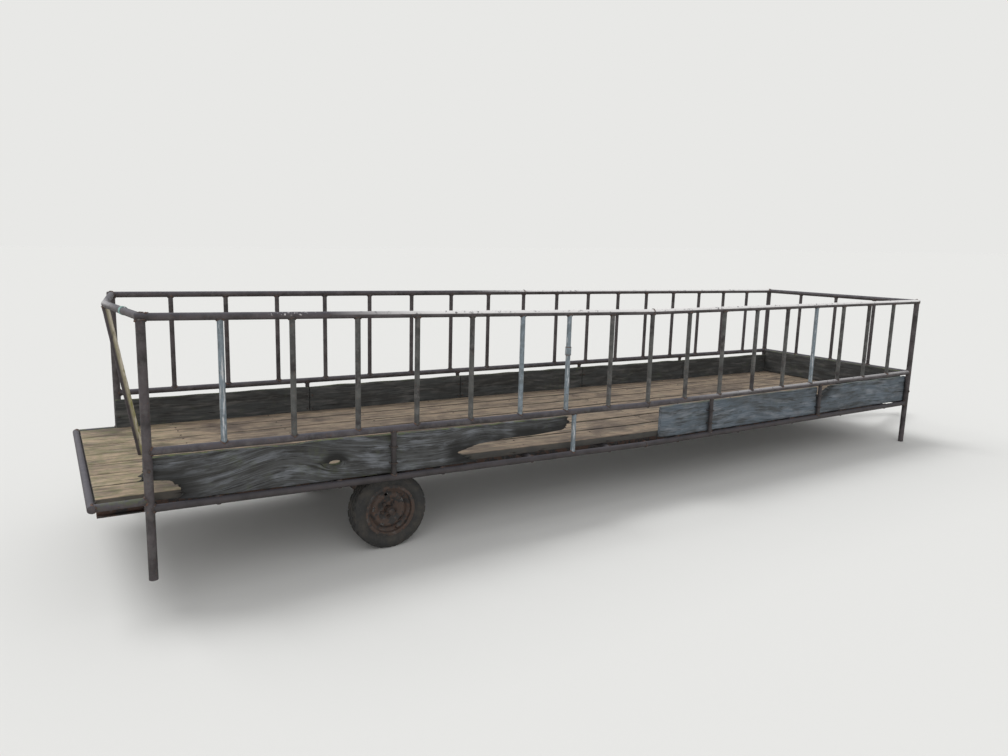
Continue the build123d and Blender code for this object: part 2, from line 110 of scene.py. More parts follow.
# Camera, as the photograph was taken, in the trailer's own frame
CAMERA_PLACE = (-0.4180, -5.1393, 1.4136)
CAMERA_TURN = (80.378, -1.596, -31.448)      # degrees
CAMERA_LENS = 26.754                         # mm on a 36 mm wide sensor


def spot(x, y, z):
    """A place of the trailer's own frame in the shared frame."""
    return ZERO + NOSE_DOWN @ Vector((x, y, z))


def drop(x, y):
    """Height lost to the sag, which is all on the right side at mid-length."""
    along = 1 - abs(2 * min(max(x, 0), FRAME_LENGTH) / FRAME_LENGTH - 1)
    return -SAG * along * (SIDE_Y - y) / (2 * SIDE_Y)


def broken_edge(*points):
    """A broken edge from (feed bars from the rear, share of the board's height) points."""
    return [(bars * BAR_PITCH, DECK_Z + share * BOARD_HEIGHT) for bars, share in points]


# Wear and repairs

# Pipes by finish, and how each finish differs from plain rusted pipe. A worn stretch is bright
# steel with a painted highlight laid over it: where it begins and is full, how far up the pipe's
# surface faces where it begins and is full, and how bright it is. Chips lie between two places.
# The places are along X in the shared frame.
PIPE_FINISHES = {
    "rusted_black_pipe": ({}, (
        "left_mid_rail", "deck_end_rail", "front_top_rail", "front_mid_rail", "rear_right_post",
        "rear_left_post", "front_right_post", "front_left_post", "left_feed_bars",
        "front_feed_bars")),
    "dusty_pipe": ({"bare": "bar_grey", "dusty": 0.8}, ("right_feed_bars",)),
    # Painted shade: the bottom rails, cross bearers and stub posts are darkened all over
    "shade_darkened_pipe": ({"dusty": 0.2, "stain_and_shade": 0.5}, (
        "right_bottom_rail", "left_bottom_rail", "front_bottom_rail", "rear_bottom_rail",
        "cross_bearers", "right_stub_posts", "left_stub_posts")),
    # Worn bright steel with a painted highlight along the top
    "rubbed_highlit_right_rail": ({"rubbed_and_highlit": (-2.95, -2.25, 0.06, 0.30, 1.0), "chips": (-3.27, -3.03)},
                          ("right_top_rail",)),
    # Worn bright steel with a painted sheen along the upper side
    "rubbed_highlit_mid_rail": ({"rubbed_and_highlit": (-0.1, 0.6, 0.10, 0.80, 0.36)}, ("right_mid_rail",)),
    # Painted highlight of the sun on the outer end of the bow
    "highlit_bow": ({"rubbed_and_highlit": (-4.00, -4.05, 0.0, 0.6, 0.45)}, ("rear_bowed_rail",)),
    # Painted highlight along the top of the far top rail
    "highlit_left_rail": ({"rubbed_and_highlit": (-1.0, -0.3, 0.25, 0.50, 1.0)}, ("left_top_rail",)),
    "mossy_pipe": ({"moss": 0.4}, ("right_deck_arm", "left_deck_arm")),
}
# Axes along, across and through the wood
SIDE_BOARD, END_BOARD, PLANK = (0, 2, 1), (1, 2, 0), (0, 1, 2)
NO_ARCH = (0, 1, 0)
KNOT_HOLE = (2.65 * BAR_PITCH, DECK_Z + 0.43 * BOARD_HEIGHT - 0.011, 0.030)
# Each right board: slot, start and end, knots (along, up, size), broken edge, the way that its
# splinters point, and its arch: where the grain rises in a bow, how wide and how high
BOARDS = {
    "right_board_rear": ("weathered_board", -0.021, 1.402, (KNOT_HOLE,), broken_edge(
        (-0.05, 0.51), (0.09, 0.51), (0.27, 0.45), (0.40, 0.35), (0.45, 0.17), (0.47, 0)),
        -1, (0.74, 0.27, 0.085)),
    "right_board_second": ("weathered_board", 1.406, 2.770, ((1.98, 0.17, 0.010),), broken_edge(
        (5.14, 0), (4.88, 0.21), (4.75, 0.32), (5.23, 0.48), (5.64, 0.54), (6.27, 0.55),
        (6.94, 0.61), (7.09, 0.78), (7.09, 1)), 1, (2.05, 0.22, 0.035)),
    "right_board_third": ("pale_board", 3.689, 5.614, ((4.60, 0.12, 0.014),), (),
                          1, (4.75, 0.35, 0.040)),
    "right_board_front": ("pale_board", 5.618, 7.041, ((6.4, 0.17, 0.012),), broken_edge(
        (15.04, 1), (14.86, 0.90), (14.73, 0.77), (14.51, 0.65), (14.40, 0.60)),
        -1, (6.3, 0.40, 0.030)),
}
LEFT_KNOTS = ((0.9, 0.15, 0.014), (2.3, 0.10, 0.012), (4.4, 0.19, 0.016), (6.2, 0.12, 0.012))
SWELL = 0.0030               # of the planks' rear ends, towards the deck's end rail
SWELL_REACH = 0.010          # from the end rail
# Fastenings of the boards: side, place along it and share of the board's height. U-bolts hold
# them to the stub posts, and one bolt to each corner post.
U_BOLTS = [(side, k * STUB_PITCH, share) for side, stubs in ((-1, (1, 3, 4)), (1, (1, 2, 3, 4)))
           for k in stubs for share in (0.28, 0.70)]
POST_BOLTS = ((-1, 0.0, 0.76), (-1, FRAME_LENGTH, 0.40), (1, 0.0, 0.50), (1, FRAME_LENGTH, 0.50))
TAPE_PLACE = Vector((-0.042, -0.50, TOP_Z))
TAPE_WIDTH = 0.042
CORNER_HEAPS = ((0.004, -0.897, TOP_Z + 0.019, 0.014), (0.030, -0.903, TOP_Z + 0.020, 0.010),
                (-0.012, -0.880, TOP_Z + 0.016, 0.010))


# Colours and sizes that a user may change

def linear(hex_colour):
    """sRGB hex to linear red, green and blue."""
    channels = [int(hex_colour[k:k + 2], 16) / 255 for k in (1, 3, 5)]
    return tuple(c / 12.92 if c <= 0.04045 else ((c + 0.055) / 1.055) ** 2.4 for c in channels)


def colour(name, hex_colour):
    """A colour property."""
    return FloatVectorProperty(name=name, description=f"Colour of the {name.lower()}",
                               subtype="COLOR", size=3, min=0, max=1, default=linear(hex_colour))


def length(name, description, default):
    """A length property, in metres."""
    return FloatProperty(name=name, description=description, default=default, min=0,
                         unit="LENGTH")


class FEEDER_finishes(bpy.types.PropertyGroup):
    """Colours of the trailer's finishes"""
    pipe_brown: colour("Rusted pipe", "#474143")
    bar_grey: colour("Dusty bar", "#4b4c4a")
    # Rust stains, and also the painted shade on the pipes' undersides and on the lower pipes
    pipe_stain_and_shade: colour("Rust stain", "#292525")
    pipe_orange: colour("Fresh rust", "#5f4130")
    pipe_grey: colour("Dusty scale", "#605e5c")
    # Painted reflection of blue sky, laid on the pipes' upper sides
    pipe_sky_sheen: colour("Blue sky sheen", "#4b4c59")
    # Bright bare steel and white zinc bloom, also the painted highlight along the rail tops
    bright_metal_and_highlight: colour("Bright metal and highlight", "#e4e2e2")
    zinc: colour("Weathered zinc", "#79848c")
    zinc_dull: colour("Zinc oxide", "#5c6468")
    weld: colour("Weld metal", "#3d3533")
    board_dark: colour("Dark board", "#272624")
    board_grey: colour("Weathered board", "#484949")
    board_shade: colour("Shaded board", "#393b3b")
    board_silver: colour("Silvered ridge", "#80848a")
    board_pale: colour("Dry board", "#58626b")
    moss: colour("Moss", "#55602f")
    lichen: colour("Lichen", "#98917a")
    # Pale lichen, also standing in for painted sunlight on the leaning post's forward side
    pale_lichen_and_highlight: colour("Pale lichen and highlight", "#cfc7b4")
    lichen_green: colour("Green lichen", "#86863c")
    plank_tan: colour("Floor plank", "#a49079")
    plank_damp: colour("Damp plank", "#4b4039")
    chassis_rust: colour("Chassis rust", "#4b3830")
    chassis_paint: colour("Old chassis paint", "#2d2b2c")
    wheel_rust: colour("Wheel rust", "#43362f")
    wheel_paint: colour("Old wheel paint", "#2b2928")
    hub_rust: colour("Hub iron", "#3a302b")
    rubber: colour("Rubber", "#2b2b2b")
    dust: colour("Dust", "#48433c")
    wrap_teal: colour("Faded tape", "#6f9a97")
    bolt: colour("Bolts and nails", "#38302c")


class FEEDER_sizes(bpy.types.PropertyGroup):
    """Sizes of the dressing pieces"""
    weld_throat: length("Weld bead", "Half width of a weld bead", 0.0050)
    weld_lump: length("Weld lumps", "Unevenness of a weld bead", 0.0035)
    board_relief: length("Board relief", "Depth of the weathered grain in the boards", 0.0030)
    plank_relief: length("Plank relief", "Depth of the weathered grain in the planks", 0.0016)
    splinter: length("Splinters", "Length of the splinters on a broken edge", 0.055)
    top_wear: length("Worn edge", "Wood worn off a board's upper edge", 0.010)
    lichen_crust: length("Lichen crust", "Thickness of the crust on the leaning post", 0.0040)
    tread_depth: length("Tread depth", "Depth of the tyre's grooves", 0.006)
    bolt_radius: length("Bolt head", "Radius of a coach bolt's head", 0.0105)
    clamp_rod: length("U-bolt rod", "Radius of the rod of a board's U-bolt", 0.0040)
    axle_rod: length("Axle U-bolt rod", "Radius of the rod of an axle's U-bolt", 0.0066)
    nail_radius: length("Nail head", "Radius of a floor spike's head", 0.0065)


def chosen(context):
    """The colours and the sizes that the user has chosen."""
    return context.scene.feeder_finishes, context.scene.feeder_sizes


# Materials

# Sizes of patterns are real ones in metres; a pattern's scale is one over its size. Numbers in
# pairs say where a share begins and where it is full.

def add_node(tree, kind, settings, out=0):
    """Adds a shader node with its settings and links. Gives one of its outputs, or the node."""
    node = tree.nodes.new("ShaderNode" + kind)
    for key, value in settings.items():
        if isinstance(value, bpy.types.NodeSocket):
            tree.links.new(value, node.inputs[key])
        elif isinstance(key, int) or key in node.inputs:
            node.inputs[key].default_value = value
        else:
            setattr(node, key, value)
    return node if out is None else node.outputs[out]


def new_material(name, roughness, metallic=0.0):
    """A material, its tree, and the place on the object that its patterns follow."""
    material = bpy.data.materials.new(name)
    material.use_nodes = True
    tree = material.node_tree
    shader = tree.nodes["Principled BSDF"]
    shader.inputs["Roughness"].default_value = roughness
    shader.inputs["Metallic"].default_value = metallic
    return material, tree, add_node(tree, "TexCoord", {}, "Object")


def patches(tree, place, size, start, end, detail=4.0):
    """Share from 0 to 1 of an uneven patchwork whose patches are about size metres across."""
    cloud = add_node(tree, "TexNoise", {"Vector": place, "Scale": 1 / size, "Detail": detail,
                                        "Roughness": 0.62})
    return add_node(tree, "MapRange", {"Value": cloud, "From Min": start, "From Max": end})


def laid(tree, under, *coats):
    """Colours laid one over another. A coat is its colour and the shares that thin it."""
    for over, share, *others in coats:
        for other in others:
            share = add_node(tree, "Math", {"operation": "MULTIPLY", 0: share, 1: other})
        settings = {"data_type": "RGBA", 0: share}
        for index, value in ((6, under), (7, over)):
            socket = isinstance(value, bpy.types.NodeSocket)
            settings[index] = value if socket else (*value, 1)
        under = add_node(tree, "Mix", settings, 2)
    return under


def finish(material, base, height, depth, strength=0.7, **others):
    """Wires the colour, the relief and any other values to the shader."""
    tree = material.node_tree
    relief = add_node(tree, "Bump", {"Height": height, "Distance": depth, "Strength": strength})
    for name, value in {"Base Color": base, "Normal": relief, **others}.items():
        tree.links.new(value, tree.nodes["Principled BSDF"].inputs[name])
    return material


def rising(tree, vector, axis, start, end):
    """Share from 0 to 1 as one axis of a vector goes from start to end."""
    part = add_node(tree, "SeparateXYZ", {"Vector": vector}, axis)
    return add_node(tree, "MapRange", {"Value": part, "From Min": start, "From Max": end})


def facing(tree, axis, start, end):
    """Share from 0 to 1 as a surface turns towards an axis."""
    return rising(tree, add_node(tree, "NewGeometry", {}, "Normal"), axis, start, end)


def rusted_pipe(name, finishes, bare="pipe_brown", dusty=0.35, stain_and_shade=0.0, moss=0.0, rubbed_and_highlit=None,
                chips=None):
    """Black mild-steel pipe, drawn and long since rusted: dull, purple-brown and pitted, with a
    painted reflection of blue sky on its upper side and painted shade on its underside. A rail
    that animals lean on is worn to bright steel along its top, with a painted highlight in the
    same strip."""
    rough, worn_smooth, worn_metallic = 0.72, 0.40, 0.35
    material, tree, place = new_material(name, rough)
    pits = add_node(tree, "TexNoise", {"Vector": place, "Scale": 1 / 0.005, "Detail": 5.0,
                                       "Roughness": 0.7})
    coats = [(finishes.pipe_stain_and_shade, patches(tree, place, 0.110, 0.42, 0.66)),
             (finishes.pipe_grey, patches(tree, place, 0.045, 0.50, 0.66), dusty),
             (finishes.pipe_orange, patches(tree, place, 0.012, 0.60, 0.70, 6.0), 0.7),
             # Painted shade: faces turned downward are darkened
             (finishes.pipe_stain_and_shade, facing(tree, "Z", -0.35, -0.95), 0.55),
             # Painted reflection: faces turned upward take a blue sky sheen
             (finishes.pipe_sky_sheen, facing(tree, "Z", 0.0, 0.9), 0.45)]
    worn = {}
    # Painted shade: an even dark coat over the whole pipe, as much as stain_and_shade says
    if stain_and_shade:
        coats.append((finishes.pipe_stain_and_shade, stain_and_shade))
    if moss:
        coats.append((finishes.moss, patches(tree, place, 0.05, 0.44, 0.56),
                      facing(tree, "Z", -0.4, 0.4), moss))
    if chips:
        coats.append((finishes.bright_metal_and_highlight, rising(tree, place, "X", chips[0] - 0.02, chips[0]),
                      rising(tree, place, "X", chips[1] + 0.02, chips[1]),
                      facing(tree, "Z", 0.0, 0.3), patches(tree, place, 0.012, 0.58, 0.63),
                      0.7))
    # Worn bright steel along the top, with a painted highlight in the same strip
    if rubbed_and_highlit:
        start, full, low, high, rub_and_highlight = rubbed_and_highlit
        for share in (rising(tree, place, "X", start, full), facing(tree, "Z", low, high),
                      patches(tree, place, 0.030, 0.28, 0.42, 3.0)):
            rub_and_highlight = add_node(tree, "Math", {"operation": "MULTIPLY", 0: share, 1: rub_and_highlight})
        coats.append((finishes.bright_metal_and_highlight, rub_and_highlight))
        worn = {"Roughness": add_node(tree, "MapRange", {"Value": rub_and_highlight, "To Min": rough,
                                                         "To Max": worn_smooth}),
                "Metallic": add_node(tree, "Math", {"operation": "MULTIPLY", 0: rub_and_highlight,
                                                    1: worn_metallic})}
    return finish(material, laid(tree, getattr(finishes, bare), *coats), pits, 0.0012, **worn)


def galvanised_pipe(finishes):
    """Hot-dip galvanised pipe: the zinc's frost-like spangle, gone dull with white bloom."""
    material, tree, place = new_material("weathered_zinc", 0.55, 0.25)
    # Spangles are about 8 mm; drawn at 14 mm, or they don't show
    spangle = add_node(tree, "TexVoronoi", {"Vector": place, "Scale": 1 / 0.014}, "Color")
    tone = add_node(tree, "SeparateXYZ", {"Vector": spangle}, "X")
    tall = add_node(tree, "Mapping", {"Vector": place, "Scale": (1, 1, 0.12)})
    base = laid(tree, finishes.zinc, (finishes.zinc_dull, tone, 0.45),
                (finishes.zinc_dull, patches(tree, place, 0.05, 0.48, 0.62), 0.7),
                (finishes.bright_metal_and_highlight, patches(tree, tall, 0.012, 0.56, 0.68), 0.55),
                (finishes.pipe_orange, patches(tree, place, 0.016, 0.66, 0.72, 5.0)))
    return finish(material, base, tone, 0.0004, 0.4)


def weld_metal(finishes):
    """Stick-welded bead: rippled, scorched and rusted darker than the pipe."""
    material, tree, place = new_material("weld_bead", 0.68)
    ripple = add_node(tree, "TexNoise", {"Vector": place, "Scale": 1 / 0.004, "Detail": 3.0})
    base = laid(tree, finishes.weld,
                (finishes.pipe_orange, patches(tree, place, 0.018, 0.50, 0.62)),
                (finishes.pipe_grey, patches(tree, place, 0.011, 0.58, 0.66)))
    return finish(material, base, ripple, 0.0015)


def grain(tree, flow, along, across, detail, shift):
    """Cloudy streaks that follow the wood's grain, of a length and a spacing in metres."""
    laid_out = add_node(tree, "Mapping", {
        "Vector": flow, "Location": (shift, 0, 0),
        "Scale": (1 / along, 1 / across, 1 / (1.6 * across))})
    return add_node(tree, "TexNoise", {"Vector": laid_out, "Scale": 1.0, "Detail": detail,
                                       "Roughness": 0.62})


def weathered_wood(name, finishes, dark, middle, pale, moss=0.5, damp=0.0, open_to=9.0,
                   shaded=0.0):
    """Sawn timber left out for years: soft wood worn out between hard grey grain ridges, silvered
    in clouds, split along the grain, and mossy where it faces up. Behind open_to it lies under the
    sky, and before it, it is damp. Faces turned away from up get painted shade, as much as shaded
    says. The grain follows the flow attribute, and the stain_and_shade attribute says where it is
    water-darkened."""
    material, tree, place = new_material(name, 0.88)
    flow = add_node(tree, "Attribute", {"attribute_name": "flow"}, "Vector")
    stain_and_shade = add_node(tree, "Attribute", {"attribute_name": "stain_and_shade"}, "Fac")
    # Rings are 2 to 5 mm apart; drawn at 7 mm, or they don't show
    lines = grain(tree, flow, 0.30, 0.007, 5.0, 0)
    ridge, groove, shade, bloom, check = (
        add_node(tree, "MapRange", {"Value": value, "From Min": start, "From Max": end})
        for value, start, end in (
            (lines, 0.50, 0.72), (lines, 0.47, 0.32),
            (grain(tree, flow, 0.30, 0.050, 4.0, 11), 0.46, 0.62),
            (grain(tree, flow, 0.22, 0.040, 5.0, 23), 0.50, 0.66),
            # Drying checks are 1 mm wide; drawn at 5 mm, or they don't show
            (grain(tree, flow, 0.16, 0.0065, 1.0, 37), 0.68, 0.72)))
    mossy = rising(tree, place, "X", open_to, open_to - 0.6)
    relief = add_node(tree, "Math", {"operation": "SUBTRACT", 0: lines, 1: check})
    wet = [c * 0.25 for c in dark]
    base = laid(tree, middle,
                (dark, shade, 0.85), (pale, bloom, 0.65),
                (dark, groove, 0.55), (pale, ridge, 0.45),
                (dark, patches(tree, place, 0.30, 0.46, 0.60), 0.4),
                (finishes.plank_damp, patches(tree, place, 0.35, 0.52, 0.66), damp),
                (finishes.plank_damp, rising(tree, place, "X", open_to - 0.4, open_to + 0.4),
                 damp, 0.5),
                # Painted shade: faces turned away from up are darkened
                (finishes.board_shade, facing(tree, "Z", 0.8, 0.3), shaded),
                (finishes.moss, facing(tree, "Z", 0.35, 0.85), mossy,
                 patches(tree, place, 0.06, 0.42, 0.58), moss),
                (finishes.moss, patches(tree, place, 0.060, 0.50, 0.66),
                 patches(tree, place, 0.400, 0.50, 0.60), mossy, moss * 0.25),
                (wet, stain_and_shade, 0.9), (wet, check))
    return finish(material, base, relief, 0.0022)


def rust_over_paint(name, finishes, rust, paint, share=0.5):
    """Rolled steel whose thin dark paint has mostly gone to rust scale."""
    material, tree, place = new_material(name, 0.74)
    scale = add_node(tree, "TexNoise", {"Vector": place, "Scale": 1 / 0.006, "Detail": 6.0,
                                        "Roughness": 0.7})
    base = laid(tree, rust,
                (paint, patches(tree, place, 0.070, 0.40 + 0.2 * share, 0.44 + 0.2 * share)),
                (finishes.pipe_orange, patches(tree, place, 0.014, 0.56, 0.66), 0.6),
                (finishes.pipe_grey, patches(tree, place, 0.030, 0.56, 0.70), 0.4))
    return finish(material, base, scale, 0.0016)


def bolt_metal(finishes):
    """Forged steel fastenings, rusted through their blacking."""
    found = bpy.data.materials.get("rusted_fastenings")
    return found or rust_over_paint("rusted_fastenings", finishes, finishes.bolt,
                                    finishes.pipe_stain_and_shade, 0.8)


def dusty_rubber(finishes):
    """Old tyre rubber: black gone grey, with dust in patches and fine sun cracks."""
    material, tree, place = new_material("aged_rubber", 0.86)
    # Sun cracks are 1 to 2 mm apart; drawn at 9 mm, or they don't show
    cracks = add_node(tree, "TexVoronoi", {"Vector": place, "Scale": 1 / 0.009,
                                           "feature": "DISTANCE_TO_EDGE"}, "Distance")
    split = add_node(tree, "MapRange", {"Value": cracks, "From Min": 0.06, "From Max": 0.0})
    base = laid(tree, finishes.rubber,
                (finishes.dust, patches(tree, place, 0.09, 0.42, 0.64), 0.55),
                (finishes.dust, patches(tree, place, 0.012, 0.52, 0.70), 0.4),
                ([c * 0.3 for c in finishes.rubber], split,
                 patches(tree, place, 0.05, 0.45, 0.6), 0.8))
    return finish(material, base, cracks, 0.0008, 0.5)


def faded_tape(finishes):
    """Woven marking tape that the sun has bleached and frayed."""
    material, tree, place = new_material("faded_tape", 0.8)
    # Threads are 0.5 mm apart; drawn at 3 mm, or they don't show
    weave = add_node(tree, "TexChecker", {"Vector": place, "Scale": 1 / 0.003}, "Fac")
    base = laid(tree, finishes.wrap_teal, (finishes.lichen, weave, 0.25),
                (finishes.pipe_brown, patches(tree, place, 0.02, 0.50, 0.66), 0.6))
    return finish(material, base, weave, 0.0004, 0.5)


def lichened_highlit_post(finishes):
    """Rusted pipe whose forward side wears a crust of pale lichen, yellow-green in streaks; the
    pale coats there also stand for painted sunlight on that side.
    """
    material, tree, place = new_material("lichened_highlit_pipe", 0.9)
    crust = add_node(tree, "TexNoise", {"Vector": place, "Scale": 1 / 0.008, "Detail": 5.0,
                                        "Roughness": 0.7})
    tall = add_node(tree, "Mapping", {"Vector": place, "Scale": (1, 1, 0.25)})
    base = laid(tree, finishes.pipe_brown,
                (finishes.pipe_stain_and_shade, patches(tree, tall, 0.020, 0.44, 0.60), 0.6),
                # Lichen coats, laid only on the forward side, whose pale tones are also a painted
                # highlight of sunlight
                (finishes.lichen, facing(tree, "X", -0.35, 0.15),
                 patches(tree, tall, 0.030, 0.30, 0.42)),
                (finishes.pale_lichen_and_highlight, facing(tree, "X", 0.10, 0.60),
                 patches(tree, tall, 0.018, 0.40, 0.55)),
                (finishes.lichen_green, facing(tree, "X", -0.2, 0.4),
                 patches(tree, tall, 0.035, 0.50, 0.60), 0.8))
    return finish(material, base, crust, 0.0025)


def dress(material, *nodes):
    """Gives CAD nodes one material."""
    for node in nodes:
        mesh = frame["nodes"][node].data
        mesh.materials.clear()
        mesh.materials.append(material)


# Modelling

def only(*pieces):
    """Selects these objects and nothing else; the first is active."""
    if bpy.context.object and bpy.context.object.mode != "OBJECT":
        bpy.ops.object.mode_set(mode="OBJECT")
    bpy.ops.object.select_all(action="DESELECT")
    for piece in pieces:
        piece.select_set(True)
    if pieces:
        bpy.context.view_layer.objects.active = pieces[0]


def added(add, **settings):
    """A new primitive, with nothing else selected."""
    only()
    add(**settings)
    return bpy.context.object


def edit(piece, wanted=None):
    """Opens a piece in edit mode with all of it selected, or the faces that a test wants."""
    only(piece)
    bpy.ops.object.mode_set(mode="EDIT")
    bpy.ops.mesh.select_mode(type="FACE" if wanted else "VERT")
    bpy.ops.mesh.select_all(action="DESELECT" if wanted else "SELECT")
    if wanted:
        cage = bmesh.from_edit_mesh(piece.data)
        for face in cage.faces:
            face.select_set(bool(wanted(face)))
        bmesh.update_edit_mesh(piece.data)


def apply(piece, kind, **settings):
    """Adds a modifier with its settings and applies it."""
    only(piece)
    modifier = piece.modifiers.new(kind.lower(), kind)
    for key, value in settings.items():
        setattr(modifier, key, value)
    bpy.ops.object.modifier_apply(modifier=modifier.name)


def roughened(piece, strength, size):
    """Makes a surface uneven, in lumps about size metres across."""
    clouds = bpy.data.textures.new("lumps", "CLOUDS")
    clouds.noise_scale = size
    apply(piece, "DISPLACE", texture=clouds, strength=strength, mid_level=0.5)


def twin(template, matrix, name="twin"):
    """A copy of an object with its own mesh, moved by a matrix."""
    piece = bpy.data.objects.new(name, template.data.copy())
    bpy.context.collection.objects.link(piece)
    piece.data.transform(matrix)
    return piece


def copied(template, places):
    """Copies of a template at places of the trailer's own frame."""
    return [twin(template, PLACE @ place) for place in places]


def joined(name, pieces):
    """One object of several."""
    only(*pieces)
    if len(pieces) > 1:
        bpy.ops.object.join()
    pieces[0].name = pieces[0].data.name = name
    return pieces[0]


def dropped(*templates):
    """Deletes templates that have been copied."""
    for template in templates:
        bpy.data.objects.remove(template)


def spread(name, template, places):
    """One object of a template's copies, in place of the template."""
    piece = joined(name, copied(template, places))
    dropped(template)
    return piece


def settle(piece, material, body="frame", angle=35, replaced=()):
    """Finishes a piece: place in its mesh, faces outward, shading, material and body."""
    only(piece)
    bpy.ops.object.transform_apply(location=True, rotation=True, scale=True)
    edit(piece)
    bpy.ops.mesh.normals_make_consistent(inside=False)
    only(piece)
    bpy.ops.object.shade_smooth_by_angle(angle=math.radians(angle))
    piece.data.materials.clear()
    piece.data.materials.append(material)
    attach(piece, body)
    if replaced:
        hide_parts(*replaced)


def towards(place, up, along):
    """Matrix in the trailer's own frame whose Z is up and whose X is as near along as can be."""
    up = Vector(up).normalized()
    side = up.cross(Vector(along)).normalized()
    turn = Matrix((side.cross(up), side, up)).transposed()
    return Matrix.Translation(place) @ turn.to_4x4()


def sliced(piece, axis, start, end, pitch):
    """Cuts a mesh by planes across one axis of the trailer, evenly spaced."""
    edit(piece)
    normal = NOSE_DOWN @ axis
    for k in range(1, math.ceil((end - start) / pitch)):
        bpy.ops.mesh.select_all(action="SELECT")
        bpy.ops.mesh.bisect(plane_co=spot(*(axis * (start + k * pitch))), plane_no=normal)
    only(piece)


def cad_copy(name, node, *cuts, edge=0.005):
    """A copy of a CAD node, merged, cleaned of facets, with its edges eased, and sliced. Each
    cut is the axis, start, end and pitch of its planes."""
    piece = joined(name, [twin(frame["nodes"][node], Matrix())])
    edit(piece)
    bpy.ops.mesh.remove_doubles(threshold=0.0001)
    bpy.ops.mesh.dissolve_limited(angle_limit=math.radians(1))
    only(piece)
    apply(piece, "BEVEL", width=edge, segments=2, limit_method="ANGLE",
          angle_limit=math.radians(50))
    for cut in cuts:
        sliced(piece, *cut)
    return piece


def knob(sides, radius, height, steps, foot=0.0):
    """A short round or many-sided knob with its foot at a height; each step insets and lifts
    its top face."""
    piece = added(bpy.ops.mesh.primitive_cylinder_add, vertices=sides, radius=radius,
                  depth=height, location=(0, 0, foot + height / 2))
    edit(piece, lambda face: face.normal.z > 0.9)
    for inset, lift in steps:
        bpy.ops.mesh.inset(thickness=inset)
        bpy.ops.transform.translate(value=(0, 0, lift))
    only(piece)
    bpy.ops.object.transform_apply(location=True)
    return piece


def bolt_head(radius, height, sides):
    """A domed head, standing on Z = 0."""
    return knob(sides, radius, height, ((0.22 * radius, 0.35 * height),
                                        (0.30 * radius, 0.25 * height)))


def hex_nut(across, height, stud, reach):
    """A nut with its chamfer and the end of its stud, standing on Z = 0."""
    return joined("nut", [
        knob(6, across / math.sqrt(3), height, ((0.10 * across, 0.12 * height),)),
        knob(12, stud, reach, ((0.25 * stud, 0.2 * stud),))])


def bent_rod(places, radius, order=5, resolution=4):
    """A round rod along a line of places. A lower order bends it closer to them."""
    rod = added(bpy.ops.curve.primitive_nurbs_path_add)
    spline = rod.data.splines[0]
    spline.points.add(len(places) - len(spline.points))
    for point, place in zip(spline.points, places):
        point.co = (*place, 1)
    spline.order_u = order
    spline.use_endpoint_u = True
    rod.data.bevel_depth = radius
    rod.data.bevel_resolution = resolution
    rod.data.use_fill_caps = True
    bpy.ops.object.convert(target="MESH")
    return bpy.context.object


def u_bolt(wide, reach, rod, bend):
    """A bent rod with its bend at Z = 0 and its legs up to reach; the corners start at bend."""
    return bent_rod([(x, 0, z) for x, z in (
        (-wide, reach), (-wide, bend), (-wide, 0), (0, 0), (wide, 0), (wide, bend),
        (wide, reach))], rod, order=3, resolution=2)


# Pipes

class FEEDER_OT_pipe_finishes(bpy.types.Operator):
    """Paints the pipes, which keep their own shape"""
    bl_idname = "feeder.pipe_finishes"
    bl_label = "Pipe finishes"

    def execute(self, context):
        finishes, _ = chosen(context)
        for name, (settings, nodes) in PIPE_FINISHES.items():
            dress(rusted_pipe(name, finishes, **settings), *nodes)
        dress(galvanised_pipe(finishes), "right_patched_bars", "right_patched_stub", "bar_sleeve")
        return {"FINISHED"}


class FEEDER_OT_leaning_post(bpy.types.Operator):
    """Makes the leaning post, thickened by its crust of lichen"""
    bl_idname = "feeder.leaning_post"
    bl_label = "Leaning post"

    def execute(self, context):
        finishes, sizes = chosen(context)
        piece = cad_copy("leaning_post_piece", "rear_leaning_post", (Z, FLOOR_Z, TOP_Z, 0.03),
                         edge=0.001)
        edit(piece)
        bpy.ops.transform.shrink_fatten(value=sizes.lichen_crust)
        only(piece)
        roughened(piece, 0.8 * sizes.lichen_crust, size=0.05)
        settle(piece, lichened_highlit_post(finishes), angle=60,
               replaced=("rear_leaning_post",))
        return {"FINISHED"}


# Welds

def weld_bead(ring, trunk, saddle, throat, lump):
    """A bead round a pipe of radius ring that rises along Z from one of radius trunk along X.
    It lies no lower than the saddle's height."""
    bead = added(bpy.ops.mesh.primitive_circle_add, vertices=18, radius=ring + 0.35 * throat)
    for vert in bead.data.vertices:
        inside = max(trunk ** 2 - vert.co.y ** 2, saddle ** 2)
        vert.co.z = math.sqrt(inside) + 0.3 * throat
    bpy.ops.object.convert(target="CURVE")
    bead.data.bevel_depth = throat
    bead.data.bevel_resolution = 1
    bpy.ops.object.convert(target="MESH")
    bead = bpy.context.object
    roughened(bead, lump, size=0.008)
    return bead


